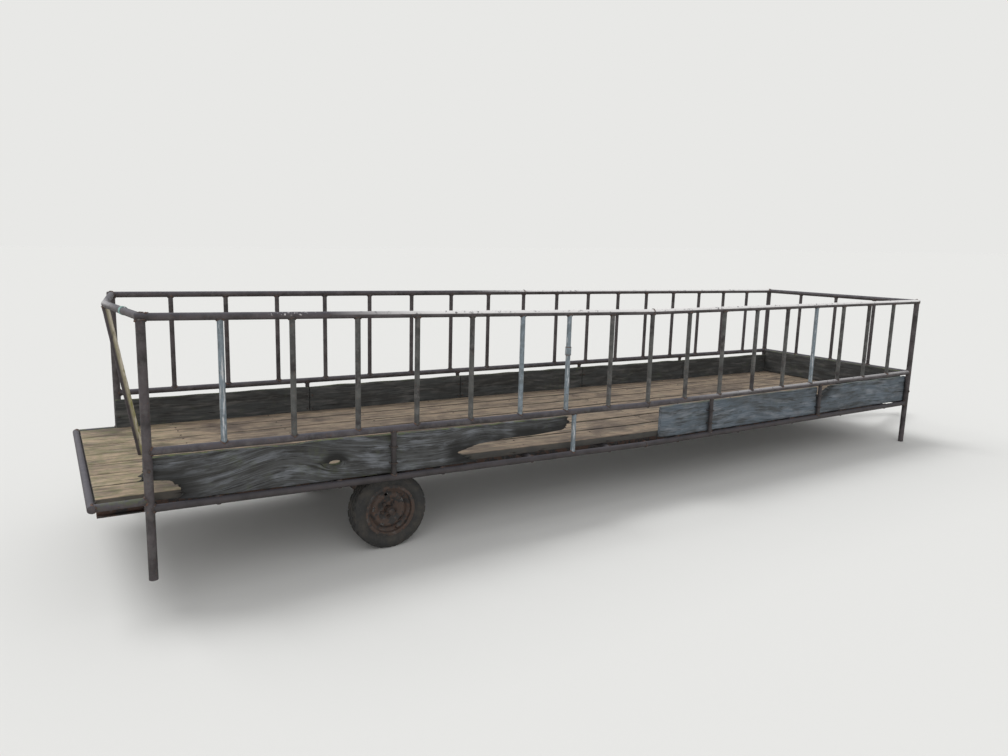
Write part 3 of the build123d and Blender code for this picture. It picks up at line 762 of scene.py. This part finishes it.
def frame_joints():
    """Every welded pipe joint: (ring, trunk, saddle) and where it is, by group."""
    bar, rail, post = (BAR_R, RAIL_R, 0), (RAIL_R, RAIL_R, 0), (RAIL_R, POST_R, 0)
    cap = (POST_R, RAIL_R, POST_SADDLE)
    groups = {"right_side": [], "left_side": [], "ends": [], "floor": []}
    for name, side in (("right_side", -1), ("left_side", 1)):
        y, inward = side * SIDE_Y, -side * Y
        for count, pitch, high, low in ((SIDE_BARS, BAR_PITCH, TOP_Z, MID_Z),
                                        (STUB_BAYS - 1, STUB_PITCH, MID_Z, 0)):
            for k in range(1, count + 1):
                x = k * pitch
                groups[name] += [(bar, towards((x, y, high + drop(x, y)), -Z, X)),
                                 (bar, towards((x, y, low + drop(x, y)), Z, X))]
        for x, along in ((0, X), (FRAME_LENGTH, -X)):
            groups[name] += [(cap, towards((x, y, TOP_Z), -Z, X)),
                             (post, towards((x, y, MID_Z), along, Z)),
                             (post, towards((x, y, 0), along, Z))]
        groups[name].append((post, towards((0, y, DECK_FRAME_Z), -X, Z)))
        groups["ends"] += [(shape, towards((x, y, z), way, along)) for shape, x, z, way, along in (
            (rail, 0, TOP_Z, inward - 0.1 * X, X), (rail, FRAME_LENGTH, TOP_Z, inward, X),
            (post, FRAME_LENGTH, MID_Z, inward, Z), (post, FRAME_LENGTH, 0, inward, Z),
            (post, 0, 0, inward, Z), (rail, -REAR_REACH, DECK_FRAME_Z, X, Y))]
        for k in range(BEARERS):
            x = (k + 0.5) * BEARER_PITCH
            groups["floor"].append((rail, towards((x, y, drop(x, y)), inward, X)))
    for k in (-1, 0, 1):
        y = k * SIDE_Y / 2
        groups["ends"] += [(bar, towards((FRAME_LENGTH, y, TOP_Z), -Z, Y)),
                           (bar, towards((FRAME_LENGTH, y, MID_Z), Z, Y))]
    head = Vector((-BOW, 0, TOP_Z))
    groups["ends"].append((bar, towards(head, LEAN_FOOT - head, Y)))
    return groups


class FEEDER_OT_welds(bpy.types.Operator):
    """Lays a weld bead round every pipe joint"""
    bl_idname = "feeder.welds"
    bl_label = "Weld beads"

    def execute(self, context):
        finishes, sizes = chosen(context)
        material = weld_metal(finishes)
        templates = {}
        for name, joints in frame_joints().items():
            beads = []
            for shape, place in joints:
                if shape not in templates:
                    templates[shape] = weld_bead(*shape, sizes.weld_throat, sizes.weld_lump)
                beads.append(twin(templates[shape], PLACE @ place))
            settle(joined(f"{name}_welds", beads), material, angle=60)
        dropped(*templates.values())
        return {"FINISHED"}


# Rail repairs

def corner_heaps():
    """Heaped weld on the rear corner, with a lump of spatter on each side."""
    heaps = []
    for k, (x, y, z, size) in enumerate(CORNER_HEAPS):
        heap = added(bpy.ops.mesh.primitive_ico_sphere_add, subdivisions=3, radius=size)
        edit(heap)
        bpy.ops.transform.resize(value=(1.5, 0.8, 0.55))
        only(heap)
        roughened(heap, 0.5 * size, 0.5 * size)
        heap.data.transform(PLACE @ Matrix.Translation((x, y, z))
                            @ Matrix.Rotation(0.7 * k, 4, "Z"))
        heaps.append(heap)
    return joined("corner_weld_heaps", heaps)


def rail_tape(rings=12):
    """Tape wound round the bowed rail, with wavy, frayed edges and creases."""
    gap, wave, fray, crease, thick = 0.0012, 0.004, 0.002, 0.035, 0.0016
    tape = added(bpy.ops.mesh.primitive_cylinder_add, vertices=28, radius=RAIL_R + gap,
                 depth=TAPE_WIDTH, end_fill_type="NOTHING")
    tape.name = tape.data.name = "rail_tape"
    edit(tape)
    for k in range(1, rings):
        bpy.ops.mesh.select_all(action="SELECT")
        bpy.ops.mesh.bisect(plane_co=(0, 0, (k / rings - 0.5) * TAPE_WIDTH), plane_no=(0, 0, 1))
    only(tape)
    shift = Vector((3.1, 0.4, 7.7))
    for vert in tape.data.vertices:
        turn = math.atan2(vert.co.y, vert.co.x)
        vert.co.z += wave * math.sin(turn) + fray * noise.noise(vert.co * 90 + shift)
        vert.co.xy *= 1 + crease * (0.5 + noise.noise(vert.co * 140))
    apply(tape, "SOLIDIFY", thickness=thick, offset=1)
    tape.data.transform(PLACE @ towards(TAPE_PLACE, Y - BOW_SLOPE * X, Z))
    return tape


def end_caps():
    """Crowned plates that close the free ends of the rails."""
    cap = knob(28, RAIL_R - 0.0004, 0.004, ((0.004, 0.0022), (0.007, 0.0008)), foot=-0.002)
    roughened(cap, 0.0012, size=0.012)
    ends = [towards((-REAR_REACH, side * (SIDE_Y + RAIL_R), DECK_FRAME_Z), side * Y, X)
            for side in (-1, 1)]
    ends += [towards((x, side * SIDE_Y, TOP_Z), out, Z) for side in (-1, 1)
             for x, out in ((-POST_R, -X), (FRAME_LENGTH + POST_R, X))]
    return spread("pipe_end_caps", cap, ends)


class FEEDER_OT_rail_repairs(bpy.types.Operator):
    """Makes the rail splices, the heaped weld, the sleeve's welds, the tape and the end caps"""
    bl_idname = "feeder.rail_repairs"
    bl_label = "Rail repairs"

    def execute(self, context):
        finishes, sizes = chosen(context)
        half = FRAME_LENGTH / 2
        splices = [towards((half, y, z + drop(half, y)), X, Z)
                   for y in (-SIDE_Y, SIDE_Y) for z in (0, MID_Z, TOP_Z)]
        splice = weld_bead(RAIL_R - 0.001, 0, 0, sizes.weld_throat, sizes.weld_lump)
        middle = TOP_Z - SLEEVE_DROP + drop(SLEEVE_X, -SIDE_Y)
        sleeve_ends = [towards((SLEEVE_X, -SIDE_Y, middle + way * SLEEVE_LENGTH / 2), way * Z, X)
                       for way in (-1, 1)]
        sleeve = weld_bead(BAR_R + 0.001, 0, 0, 0.7 * sizes.weld_throat, 0.5 * sizes.weld_lump)
        metal = weld_metal(finishes)
        for piece in (spread("rail_splices", splice, splices),
                      spread("sleeve_welds", sleeve, sleeve_ends), corner_heaps()):
            settle(piece, metal, angle=60)
        settle(rail_tape(), faded_tape(finishes), angle=60)
        settle(end_caps(), bpy.data.materials["rusted_black_pipe"])
        return {"FINISHED"}


# Timber

def share_of(value):
    """A value kept between 0 and 1."""
    return min(max(value, 0), 1)


def to_polyline(x, z, points):
    """Distance of a place from a line of points."""
    best = math.inf
    for (x0, z0), (x1, z1) in zip(points, points[1:]):
        run = (x1 - x0) ** 2 + (z1 - z0) ** 2
        share = share_of(((x - x0) * (x1 - x0) + (z - z0) * (z1 - z0)) / run)
        best = min(best, math.hypot(x - x0 - share * (x1 - x0), z - z0 - share * (z1 - z0)))
    return best


def past_knots(along, across, knots, open_size=0.02):
    """Where a place lies across the grain, which bends round the knots, and how dark rain has
    made it where a knot fell out."""
    mark = 0.0
    for knot_along, knot_across, size in knots:
        near = math.hypot((along - knot_along) / 2.4, across - knot_across)
        away = math.hypot((along - knot_along) / 1.3, across - knot_across)
        if size > open_size:
            mark = max(mark, 2.2 - away / (1.3 * size) - 1.2 * (across < knot_across))
        if near > size:                       # the grain parts round the knot
            across = knot_across + (across - knot_across) * (1 - (size / near) ** 2)
        else:                                 # and the knot has rings of its own
            across = knot_across + 0.6 * (near - size)
    return across, mark


def weather(piece, order, seed, relief, wear=0.0, knots=(), broken=(), splinter=0.0,
            arch=NO_ARCH):
    """Works grain, worn upper edges and splinters into a sliced timber. order is its kind, as
    the axes of the wood; each knot is (along, across, size)."""
    worn_height, split_reach, stain_reach = 0.03, 0.07, 0.10
    flow, stain_and_shade = [], []
    groups = {name: piece.vertex_groups.new(name=name) for name in ("grain", "worn", "split")}
    for vert in piece.data.vertices:
        own = BACK @ vert.co
        along, across, through = (own[axis] for axis in order)
        # Each board or plank has a lane of its own in the clouds of noise, whose sizes along,
        # across and through the wood are what the places are divided by
        lane = math.floor(through / 0.2) * 3.7 + seed if order == SIDE_BOARD else seed
        if order == PLANK:
            lane += 5.3 * math.floor((across + HALF_FLOOR) / PLANK_STEP)
        wander = 0.016 * noise.noise((along / 0.45, lane, seed))
        across, mark = past_knots(along, across, knots)
        across += wander - arch[2] * math.exp(-((along - arch[0]) / arch[1]) ** 2)
        flow += (along + lane, across + 2 * lane, through)
        coarse = noise.noise((along / 0.40, (across + lane) / 0.016, through / 0.05))
        small = noise.noise((along / 0.15, (across + lane) / 0.008, through / 0.05))
        groups["grain"].add([vert.index], share_of(0.5 + 0.8 * coarse + 0.4 * small), "REPLACE")
        foot = TIMBER_TOP + drop(own.x, own.y) - worn_height
        if wear and own.z > foot:
            bite = 0.35 + 0.9 * noise.noise((along / 0.22, lane, 4.1))
            groups["worn"].add([vert.index], (own.z - foot) / worn_height * share_of(bite),
                               "REPLACE")
        if broken:
            far = to_polyline(own.x, own.z - drop(own.x, own.y), broken)
            shard = noise.noise((own.y / 0.03, (own.z + lane) / 0.011, 8.2))
            shard += 0.5 * noise.noise((own.y / 0.02, (own.z + lane) / 0.03, 2.6))
            groups["split"].add([vert.index],
                                max(1 - far / split_reach, 0) * share_of(0.25 + shard), "REPLACE")
            edge = 1.1 + noise.noise((along / 0.09, lane, 6.6))
            mark = max(mark, (1 - far / stain_reach) * edge)
        stain_and_shade.append(share_of(mark))
    attributes = piece.data.attributes
    attributes.new("flow", "FLOAT_VECTOR", "POINT").data.foreach_set("vector", flow)
    attributes.new("stain_and_shade", "FLOAT", "POINT").data.foreach_set("value", stain_and_shade)
    for group, way, strength in (("grain", "NORMAL", -relief), ("worn", "Z", -wear),
                                 ("split", "X", splinter)):
        if strength:
            apply(piece, "DISPLACE", vertex_group=group, direction=way, strength=strength,
                  mid_level=0)
    piece.vertex_groups.clear()


class FEEDER_OT_boards(bpy.types.Operator):
    """Makes the weathered side and end boards"""
    bl_idname = "feeder.boards"
    bl_label = "Boards"

    def execute(self, context):
        finishes, sizes = chosen(context)
        woods = {
            "weathered_board": weathered_wood("mossy_board", finishes, finishes.board_dark,
                                              finishes.board_grey, finishes.board_silver, 0.8),
            "pale_board": weathered_wood("dry_board", finishes, finishes.board_shade,
                                         finishes.board_pale, finishes.board_silver, 0.3)}
        for node, (slot, start, end, knots, broken, way, arch) in BOARDS.items():
            piece = cad_copy(f"{node}_wood", node, (X, start, end, 0.022),
                             *((X, at - 0.12, at + 0.12, 0.008) for at, _, _ in knots),
                             (Z, DECK_Z - SAG, TIMBER_TOP + 0.01, 0.0085))
            weather(piece, SIDE_BOARD, 1.7 * start, sizes.board_relief, sizes.top_wear, knots,
                    broken, way * sizes.splinter, arch)
            settle(piece, woods[slot], angle=50, replaced=(node,))

        # Boards seen from their shaded side, in a darker copy of the wood: painted shade
        shaded = weathered_wood("shaded_board", finishes, finishes.board_dark,
                                finishes.board_shade, finishes.pipe_grey, 0.6)
        for name, node, axis, start, end, spare, order, seed, wear, knots in (
                ("left_board_wood", "left_boards", X, 0, FRAME_LENGTH, 0.01, SIDE_BOARD,
                 31.0, sizes.top_wear, LEFT_KNOTS),
                ("front_board_wood", "front_board", Y, -SIDE_Y, SIDE_Y, 0.07, END_BOARD,
                 47.0, 0.0, ())):
            piece = cad_copy(name, node, (axis, start, end, 0.035),
                             (Z, DECK_Z, TIMBER_TOP + spare, 0.012))
            weather(piece, order, seed, sizes.board_relief, wear, knots)
            settle(piece, shaded, angle=50, replaced=(node,))
        return {"FINISHED"}


def spike_places(sunk=0.001, clear=0.016):
    """Two spikes through each plank on each bearer, clear of the joint between the lengths."""
    places = []
    for k in range(BEARERS):
        x = (k + 0.5) * BEARER_PITCH
        for row in range(PLANK_COUNT):
            for share in (0.22, 0.78):
                y = -HALF_FLOOR + (row + share) * PLANK_STEP
                z = FLOOR_Z + drop(x, y) - sunk
                places.append(towards((x + (clear if k == BUTT_BEARER else 0), y, z), Z, X))
    return places


class FEEDER_OT_floor_planks(bpy.types.Operator):
    """Makes the floor planks and the spikes that hold them"""
    bl_idname = "feeder.floor_planks"
    bl_label = "Floor planks"

    def execute(self, context):
        finishes, sizes = chosen(context)
        # shaded=0.8 paints shade on the planks' sides
        tan = weathered_wood("sawn_floor_plank", finishes, finishes.plank_damp, finishes.plank_tan,
                             finishes.lichen, moss=0.35, damp=0.8, open_to=-3.4, shaded=0.8)
        for node, start, end, seed in (("rear_floor_planks", -REAR_REACH, BUTT_X, 3.0),
                                       ("front_floor_planks", BUTT_X, FRAME_LENGTH, 9.0)):
            piece = cad_copy(f"{node}_wood", node, (X, start, end, 0.045),
                             (Y, -HALF_FLOOR, HALF_FLOOR, 0.0208))
            weather(piece, PLANK, seed, sizes.plank_relief)
            for vert in piece.data.vertices:
                if (BACK @ vert.co).x < -REAR_REACH + RAIL_R + SWELL_REACH:
                    vert.co -= NOSE_DOWN @ (SWELL * X)
            settle(piece, tan, angle=50, replaced=(node,))
        head = bolt_head(sizes.nail_radius, 0.003, 8)
        settle(spread("floor_spikes", head, spike_places()), bolt_metal(finishes))
        return {"FINISHED"}


class FEEDER_OT_board_bolts(bpy.types.Operator):
    """Holds the boards to the stub posts with U-bolts, and to the corner posts with bolts"""
    bl_idname = "feeder.board_bolts"
    bl_label = "Board bolts"

    def execute(self, context):
        finishes, sizes = chosen(context)
        rod = sizes.clamp_rod
        wide = BAR_R + rod + 0.0004                    # just clear of the stub
        inside = SIDE_Y - BOARD_FACE + BOARD_THICK     # a stub's axis to a board's inner face
        thread = 0.014                                 # of a U-bolt's legs past the board
        head_y = SIDE_Y + POST_R - 0.002               # seated on a corner post
        clamp = u_bolt(wide, wide + inside + thread, rod, bend=2 * wide)
        nut = hex_nut(across=0.013, height=0.007, stud=rod, reach=0.011)
        head = bolt_head(sizes.bolt_radius, 0.006, 14)
        pieces = []
        for side, x, share in U_BOLTS:
            z = DECK_Z + share * BOARD_HEIGHT + drop(x, side * SIDE_Y)
            for template, leg, y in ((clamp, 0, SIDE_Y + wide), (nut, -wide, SIDE_Y - inside),
                                     (nut, wide, SIDE_Y - inside)):
                pieces += copied(template, [towards((x + leg, side * y, z), -side * Y, X)])
        for side, x, share in POST_BOLTS:
            z = DECK_Z + share * BOARD_HEIGHT
            pieces += copied(head, [towards((x, side * head_y, z), side * Y, X)])
            pieces += copied(nut, [towards((x, side * (SIDE_Y - inside), z), -side * Y, X)])
        settle(joined("board_bolts", pieces), bolt_metal(finishes))
        dropped(clamp, nut, head)
        return {"FINISHED"}


# Wheels

# A wheel's parts are made about the origin, with +Y outward. Outlines are (outward, radius).

def turned(points, steps):
    """A turned piece, spun about the wheel's axis."""
    piece = added(bpy.ops.mesh.primitive_plane_add, size=0.001)
    edit(piece)
    bpy.ops.mesh.merge(type="CENTER")
    bpy.ops.transform.translate(value=(0, *points[0]))
    for (out0, radius0), (out1, radius1) in zip(points, points[1:]):
        bpy.ops.mesh.extrude_region_move(
            TRANSFORM_OT_translate={"value": (0, out1 - out0, radius1 - radius0)})
    bpy.ops.mesh.select_all(action="SELECT")
    bpy.ops.mesh.spin(steps=steps, angle=math.tau, center=(0, 0, 0), axis=(0, 1, 0))
    bpy.ops.mesh.select_all(action="SELECT")
    bpy.ops.mesh.remove_doubles(threshold=0.00005)
    bpy.ops.mesh.normals_make_consistent(inside=False)
    only(piece)
    return piece


def closed_loop(points):
    """A closed outline from its outward half."""
    return points + [(-out, radius) for out, radius in reversed(points)] + points[:1]


def polar(face, steps):
    """A face's distance from the wheel's axis, its turn round it in steps, and its place
    outward."""
    middle = face.calc_center_median()
    turn = math.atan2(middle.z, middle.x) / math.tau * steps
    return math.hypot(middle.x, middle.z), turn, middle.y


def make_tyre(depth, steps=112):
    """A ribbed implement tyre: four ribs, cross cuts in the outer two, rings on its walls."""
    tread = TYRE_RADIUS
    wall = [(0.0537, 0.1530), (0.0537, 0.1655), (0.0560, 0.1720), (0.0612, 0.1790),
            (0.0600, 0.1810), (0.0645, 0.1880), (0.0668, 0.1960), (0.0686, 0.2040),
            (0.0690, 0.2120), (0.0690, 0.2140), (0.0678, 0.2150), (0.0682, 0.2230),
            (0.0655, 0.2300), (0.0646, 0.2310), (0.0625, 0.2370), (0.0575, 0.2450)]
    crown = [(0.0515, tread - 0.004), (0.050, tread - 0.0015), (0.034, tread - 0.0006),
             (0.0325, tread - depth), (0.0275, tread - depth), (0.026, tread - 0.0002),
             (0.005, tread), (0.0035, tread - depth)]
    tyre = turned(closed_loop(wall + crown), steps)

    def cross_cut(face):
        radius, turn, out = polar(face, steps)
        phase = 0 if out > 0 else 2           # one side's cuts stand between the other's
        on_shoulder = radius > tread - 1.5 * depth and abs(out) > 0.030
        return on_shoulder and (math.floor(turn + 0.5) + phase) % 4 == 0
    edit(tyre, cross_cut)
    bpy.ops.mesh.extrude_region_shrink_fatten(
        TRANSFORM_OT_shrink_fatten={"value": -0.8 * depth})
    only(tyre)
    return tyre


def make_rim(steps=60, holes=5, hole_steps=3):
    """A pressed drop-centre rim on a dished disc with hand holes."""
    half, lip, seat, well, wall = 0.058, 0.171, 0.1524, 0.1284, 0.004
    rim = turned(closed_loop([
        (0.020, well), (0.030, seat - wall), (half - wall, seat - wall), (half, seat),
        (half, lip - 0.003), (half - 0.001, lip), (half - 0.003, lip - 0.001),
        (half - wall, lip - wall), (half - wall, seat), (0.032, seat), (0.024, well + wall)]), 72)
    disc = turned([(0.0175, 0.0285), (0.0175, 0.072), (0.022, 0.080), (0.029, 0.098),
                   (0.029, 0.104), (0.022, 0.116), (0.014, 0.125), (0.0145, 0.1300)], steps)

    def hand_hole(face):
        radius, turn, _ = polar(face, steps)
        return 0.098 < radius < 0.120 and math.floor(turn) % (steps // holes) < hole_steps
    edit(disc, hand_hole)
    bpy.ops.mesh.inset(thickness=0.003)
    bpy.ops.mesh.delete(type="FACE")
    only(disc)
    apply(disc, "SOLIDIFY", thickness=0.0048, offset=0)
    apply(disc, "BEVEL", width=0.0008, segments=1, limit_method="ANGLE",
          angle_limit=math.radians(50))
    return joined("rim", [rim, disc])


def make_fittings(nuts=5):
    """The wheel nuts, the grease cap and the valve, which leans out of a hand hole."""
    on_disc = Matrix.Translation((0, 0.0200, 0.050))
    in_hole = Matrix.Translation((0, 0.0300, 0.1385))
    nut = hex_nut(across=0.021, height=0.013, stud=0.006, reach=0.022)
    fittings = [twin(nut, Matrix.Rotation(math.tau * (k + 0.5) / nuts, 4, "Y") @ on_disc
                     @ Matrix.Rotation(-math.pi / 2, 4, "X")) for k in range(nuts)]
    dropped(nut)
    cap = turned([(0.0555, 0.0250), (0.0600, 0.0258), (0.0610, 0.0235), (0.0700, 0.0225),
                  (0.0760, 0.0190), (0.0790, 0.0110), (0.0795, 0.0)], 32)
    valve = turned([(0, 0.0), (0, 0.0075), (0.006, 0.0068), (0.012, 0.0050), (0.026, 0.0042),
                    (0.027, 0.0052), (0.036, 0.0050), (0.037, 0.0)], 12)
    valve.data.transform(Matrix.Rotation(math.radians(200), 4, "Y")
                         @ in_hole @ Matrix.Rotation(math.radians(-30), 4, "X"))
    return joined("wheel_fittings", [*fittings, cap, valve])


class FEEDER_OT_wheels(bpy.types.Operator):
    """Makes the tyres, the rims, and the nuts, grease caps and valves on them"""
    bl_idname = "feeder.wheels"
    bl_label = "Wheels"

    def execute(self, context):
        finishes, sizes = chosen(context)
        steel = rust_over_paint("rusted_wheel_paint", finishes, finishes.wheel_rust,
                                finishes.wheel_paint, 0.5)
        iron = rust_over_paint("greasy_hub_iron", finishes, finishes.hub_rust,
                               finishes.pipe_stain_and_shade, 0.6)
        sources = {"tyre": (make_tyre(sizes.tread_depth), dusty_rubber(finishes), "tyre"),
                   "rim": (make_rim(), steel, "wheel_steel"),
                   "wheel_fittings": (make_fittings(), iron, "hub_iron")}
        for side, turn in (("right", math.pi), ("left", 0)):
            place = Matrix.Translation(WHEELS[f"{side}_wheel"]) @ Matrix.Rotation(turn, 4, "Z")
            for name, (source, material, slot) in sources.items():
                replaced = () if name == "wheel_fittings" else (f"{side}_{name}",)
                settle(twin(source, place, f"{side}_{name}_piece"), material,
                       f"{side}_wheel", angle=32, replaced=replaced)
        dropped(*(source for source, _, _ in sources.values()))
        dress(iron, "right_hub", "left_hub", "right_spindle", "left_spindle")
        return {"FINISHED"}


# Running gear

def axle_u_bolts(rod):
    """U-bolts round the axle, each through a clamp plate with two nuts. Heights are from the
    axle's centre line."""
    wide, low, plate_z, nut_z, high = 0.040, -0.038, 0.0333, 0.0362, 0.052
    strap = u_bolt(wide, high - low, rod, bend=0.03)
    nut = hex_nut(across=0.024, height=0.011, stud=rod, reach=0.020)
    plate = added(bpy.ops.mesh.primitive_cube_add, size=1, scale=(0.104, 0.030, 0.006))
    bpy.ops.object.transform_apply(scale=True)
    apply(plate, "BEVEL", width=0.0015, segments=2)
    bolts = []
    for y in [side * PERCH_Y + fore * PERCH_BOLT for side in (-1, 1) for fore in (-1, 1)]:
        for template, x, z in ((strap, 0, low), (nut, -wide, nut_z), (nut, wide, nut_z),
                               (plate, 0, plate_z)):
            bolts += copied(template, [Matrix.Translation(AXLE + Vector((x, y, z)))])
    dropped(strap, nut, plate)
    return joined("axle_u_bolts", bolts)


def hitch_welds(throat, lump):
    """Seams between the drawbar's legs and its tongue, above and below."""
    start, step, points, seam_z = PIN_X - 0.188, 0.011, 9, 0.0165
    seams = []
    for side in (-1, 1):
        for face in (-1, 1):
            y, z = side * TONGUE_HALF, DRAW_Z + face * seam_z
            seam = bent_rod([(start + step * k, y, z) for k in range(points)], throat)
            roughened(seam, lump, size=0.008)
            seam.data.transform(PLACE)
            seams.append(seam)
    return joined("hitch_welds", seams)


class FEEDER_OT_running_gear(bpy.types.Operator):
    """Paints the chassis, and makes the axle's U-bolts and the drawbar's welds"""
    bl_idname = "feeder.running_gear"
    bl_label = "Running gear"

    def execute(self, context):
        finishes, sizes = chosen(context)
        steel = rust_over_paint("rusted_chassis", finishes, finishes.chassis_rust,
                                finishes.chassis_paint, 0.45)
        dress(steel, "right_chassis_beam", "left_chassis_beam", "right_axle_perch",
              "left_axle_perch", "axle_beam", "right_draw_bar", "left_draw_bar", "hitch_eye")
        settle(axle_u_bolts(sizes.axle_rod), bolt_metal(finishes))
        settle(hitch_welds(sizes.weld_throat, sizes.weld_lump), weld_metal(finishes),
               angle=60)
        return {"FINISHED"}


# Stage, panel and script

def studio_world():
    """White light, and a pale backdrop to the eye, in mirrors and through glass."""
    world = bpy.data.worlds.new("studio")
    world.use_nodes = True
    tree = world.node_tree
    tree.nodes.clear()
    seen, glossy, through = (add_node(tree, "LightPath", {}, f"Is {ray} Ray")
                             for ray in ("Camera", "Glossy", "Transmission"))
    for other in (glossy, through):
        seen = add_node(tree, "Math", {"operation": "MAXIMUM", 0: seen, 1: other})
    light = add_node(tree, "Background", {"Color": (1, 1, 1, 1), "Strength": 0.62})
    backdrop = add_node(tree, "Background", {"Color": (*linear("#e8e8e6"), 1)})
    mix = add_node(tree, "MixShader", {"Fac": seen, 1: light, 2: backdrop})
    add_node(tree, "OutputWorld", {"Surface": mix}, None)
    return world


class FEEDER_OT_stage(bpy.types.Operator):
    """Makes the camera, the pale floor and the studio light"""
    bl_idname = "feeder.stage"
    bl_label = "Stage"

    def execute(self, context):
        scene = context.scene
        turn = NOSE_DOWN @ Euler([math.radians(angle) for angle in CAMERA_TURN]).to_matrix()
        scene.camera = added(bpy.ops.object.camera_add, location=spot(*CAMERA_PLACE),
                             rotation=turn.to_euler())
        scene.camera.name = "photo_camera"
        scene.camera.data.sensor_width = 36
        scene.camera.data.lens = CAMERA_LENS
        scene.view_settings.view_transform = "Standard"

        floor = added(bpy.ops.mesh.primitive_plane_add, size=400, location=(0, 0, -0.001))
        floor.name = "studio_floor"
        material = bpy.data.materials.new("studio_floor")
        material.use_nodes = True
        for name, value in (("Base Color", (*linear("#d9d9d7"), 1)), ("Roughness", 0.95),
                            ("Specular IOR Level", 0.0)):
            material.node_tree.nodes["Principled BSDF"].inputs[name].default_value = value
        floor.data.materials.append(material)

        scene.world = studio_world()

        # Broad soft lamps far off, so that the whole length is lit alike
        for name, turn, angle, power in (("key", (-28, -22, 0), 30, 1.7),
                                         ("fill", (62, 0, -25), 60, 0.75)):
            lamp = added(bpy.ops.object.light_add, type="SUN",
                         rotation=[math.radians(t) for t in turn])
            lamp.name = f"{name}_light"
            lamp.data.angle = math.radians(angle)
            lamp.data.energy = power
        return {"FINISHED"}


OPERATORS = (FEEDER_OT_pipe_finishes, FEEDER_OT_leaning_post, FEEDER_OT_boards,
             FEEDER_OT_floor_planks, FEEDER_OT_board_bolts, FEEDER_OT_welds,
             FEEDER_OT_rail_repairs, FEEDER_OT_running_gear, FEEDER_OT_wheels, FEEDER_OT_stage)
GROUPS = (FEEDER_finishes, FEEDER_sizes)


class FEEDER_PT_panel(bpy.types.Panel):
    """Lists the trailer's operators, colours and sizes"""
    bl_idname = "FEEDER_PT_panel"
    bl_label = "Feeder trailer"
    bl_space_type = "VIEW_3D"
    bl_region_type = "UI"
    bl_category = "Feeder trailer"

    def draw(self, context):
        for operator in OPERATORS:
            self.layout.operator(operator.bl_idname)
        for group in chosen(context):
            for name in group.bl_rna.properties.keys():
                if name not in ("rna_type", "name"):
                    self.layout.prop(group, name)


def register():
    for kind in (*GROUPS, *OPERATORS, FEEDER_PT_panel):
        bpy.utils.register_class(kind)
    bpy.types.Scene.feeder_finishes = PointerProperty(type=FEEDER_finishes)
    bpy.types.Scene.feeder_sizes = PointerProperty(type=FEEDER_sizes)


def unregister():
    del bpy.types.Scene.feeder_sizes
    del bpy.types.Scene.feeder_finishes
    for kind in (FEEDER_PT_panel, *reversed(OPERATORS), *reversed(GROUPS)):
        bpy.utils.unregister_class(kind)


def main():
    register()
    bpy.ops.feeder.pipe_finishes()
    bpy.ops.feeder.leaning_post()
    bpy.ops.feeder.boards()
    bpy.ops.feeder.floor_planks()
    bpy.ops.feeder.board_bolts()
    bpy.ops.feeder.welds()
    bpy.ops.feeder.rail_repairs()
    bpy.ops.feeder.running_gear()
    bpy.ops.feeder.wheels()
    bpy.ops.feeder.stage()


if __name__ == "__main__":
    main()
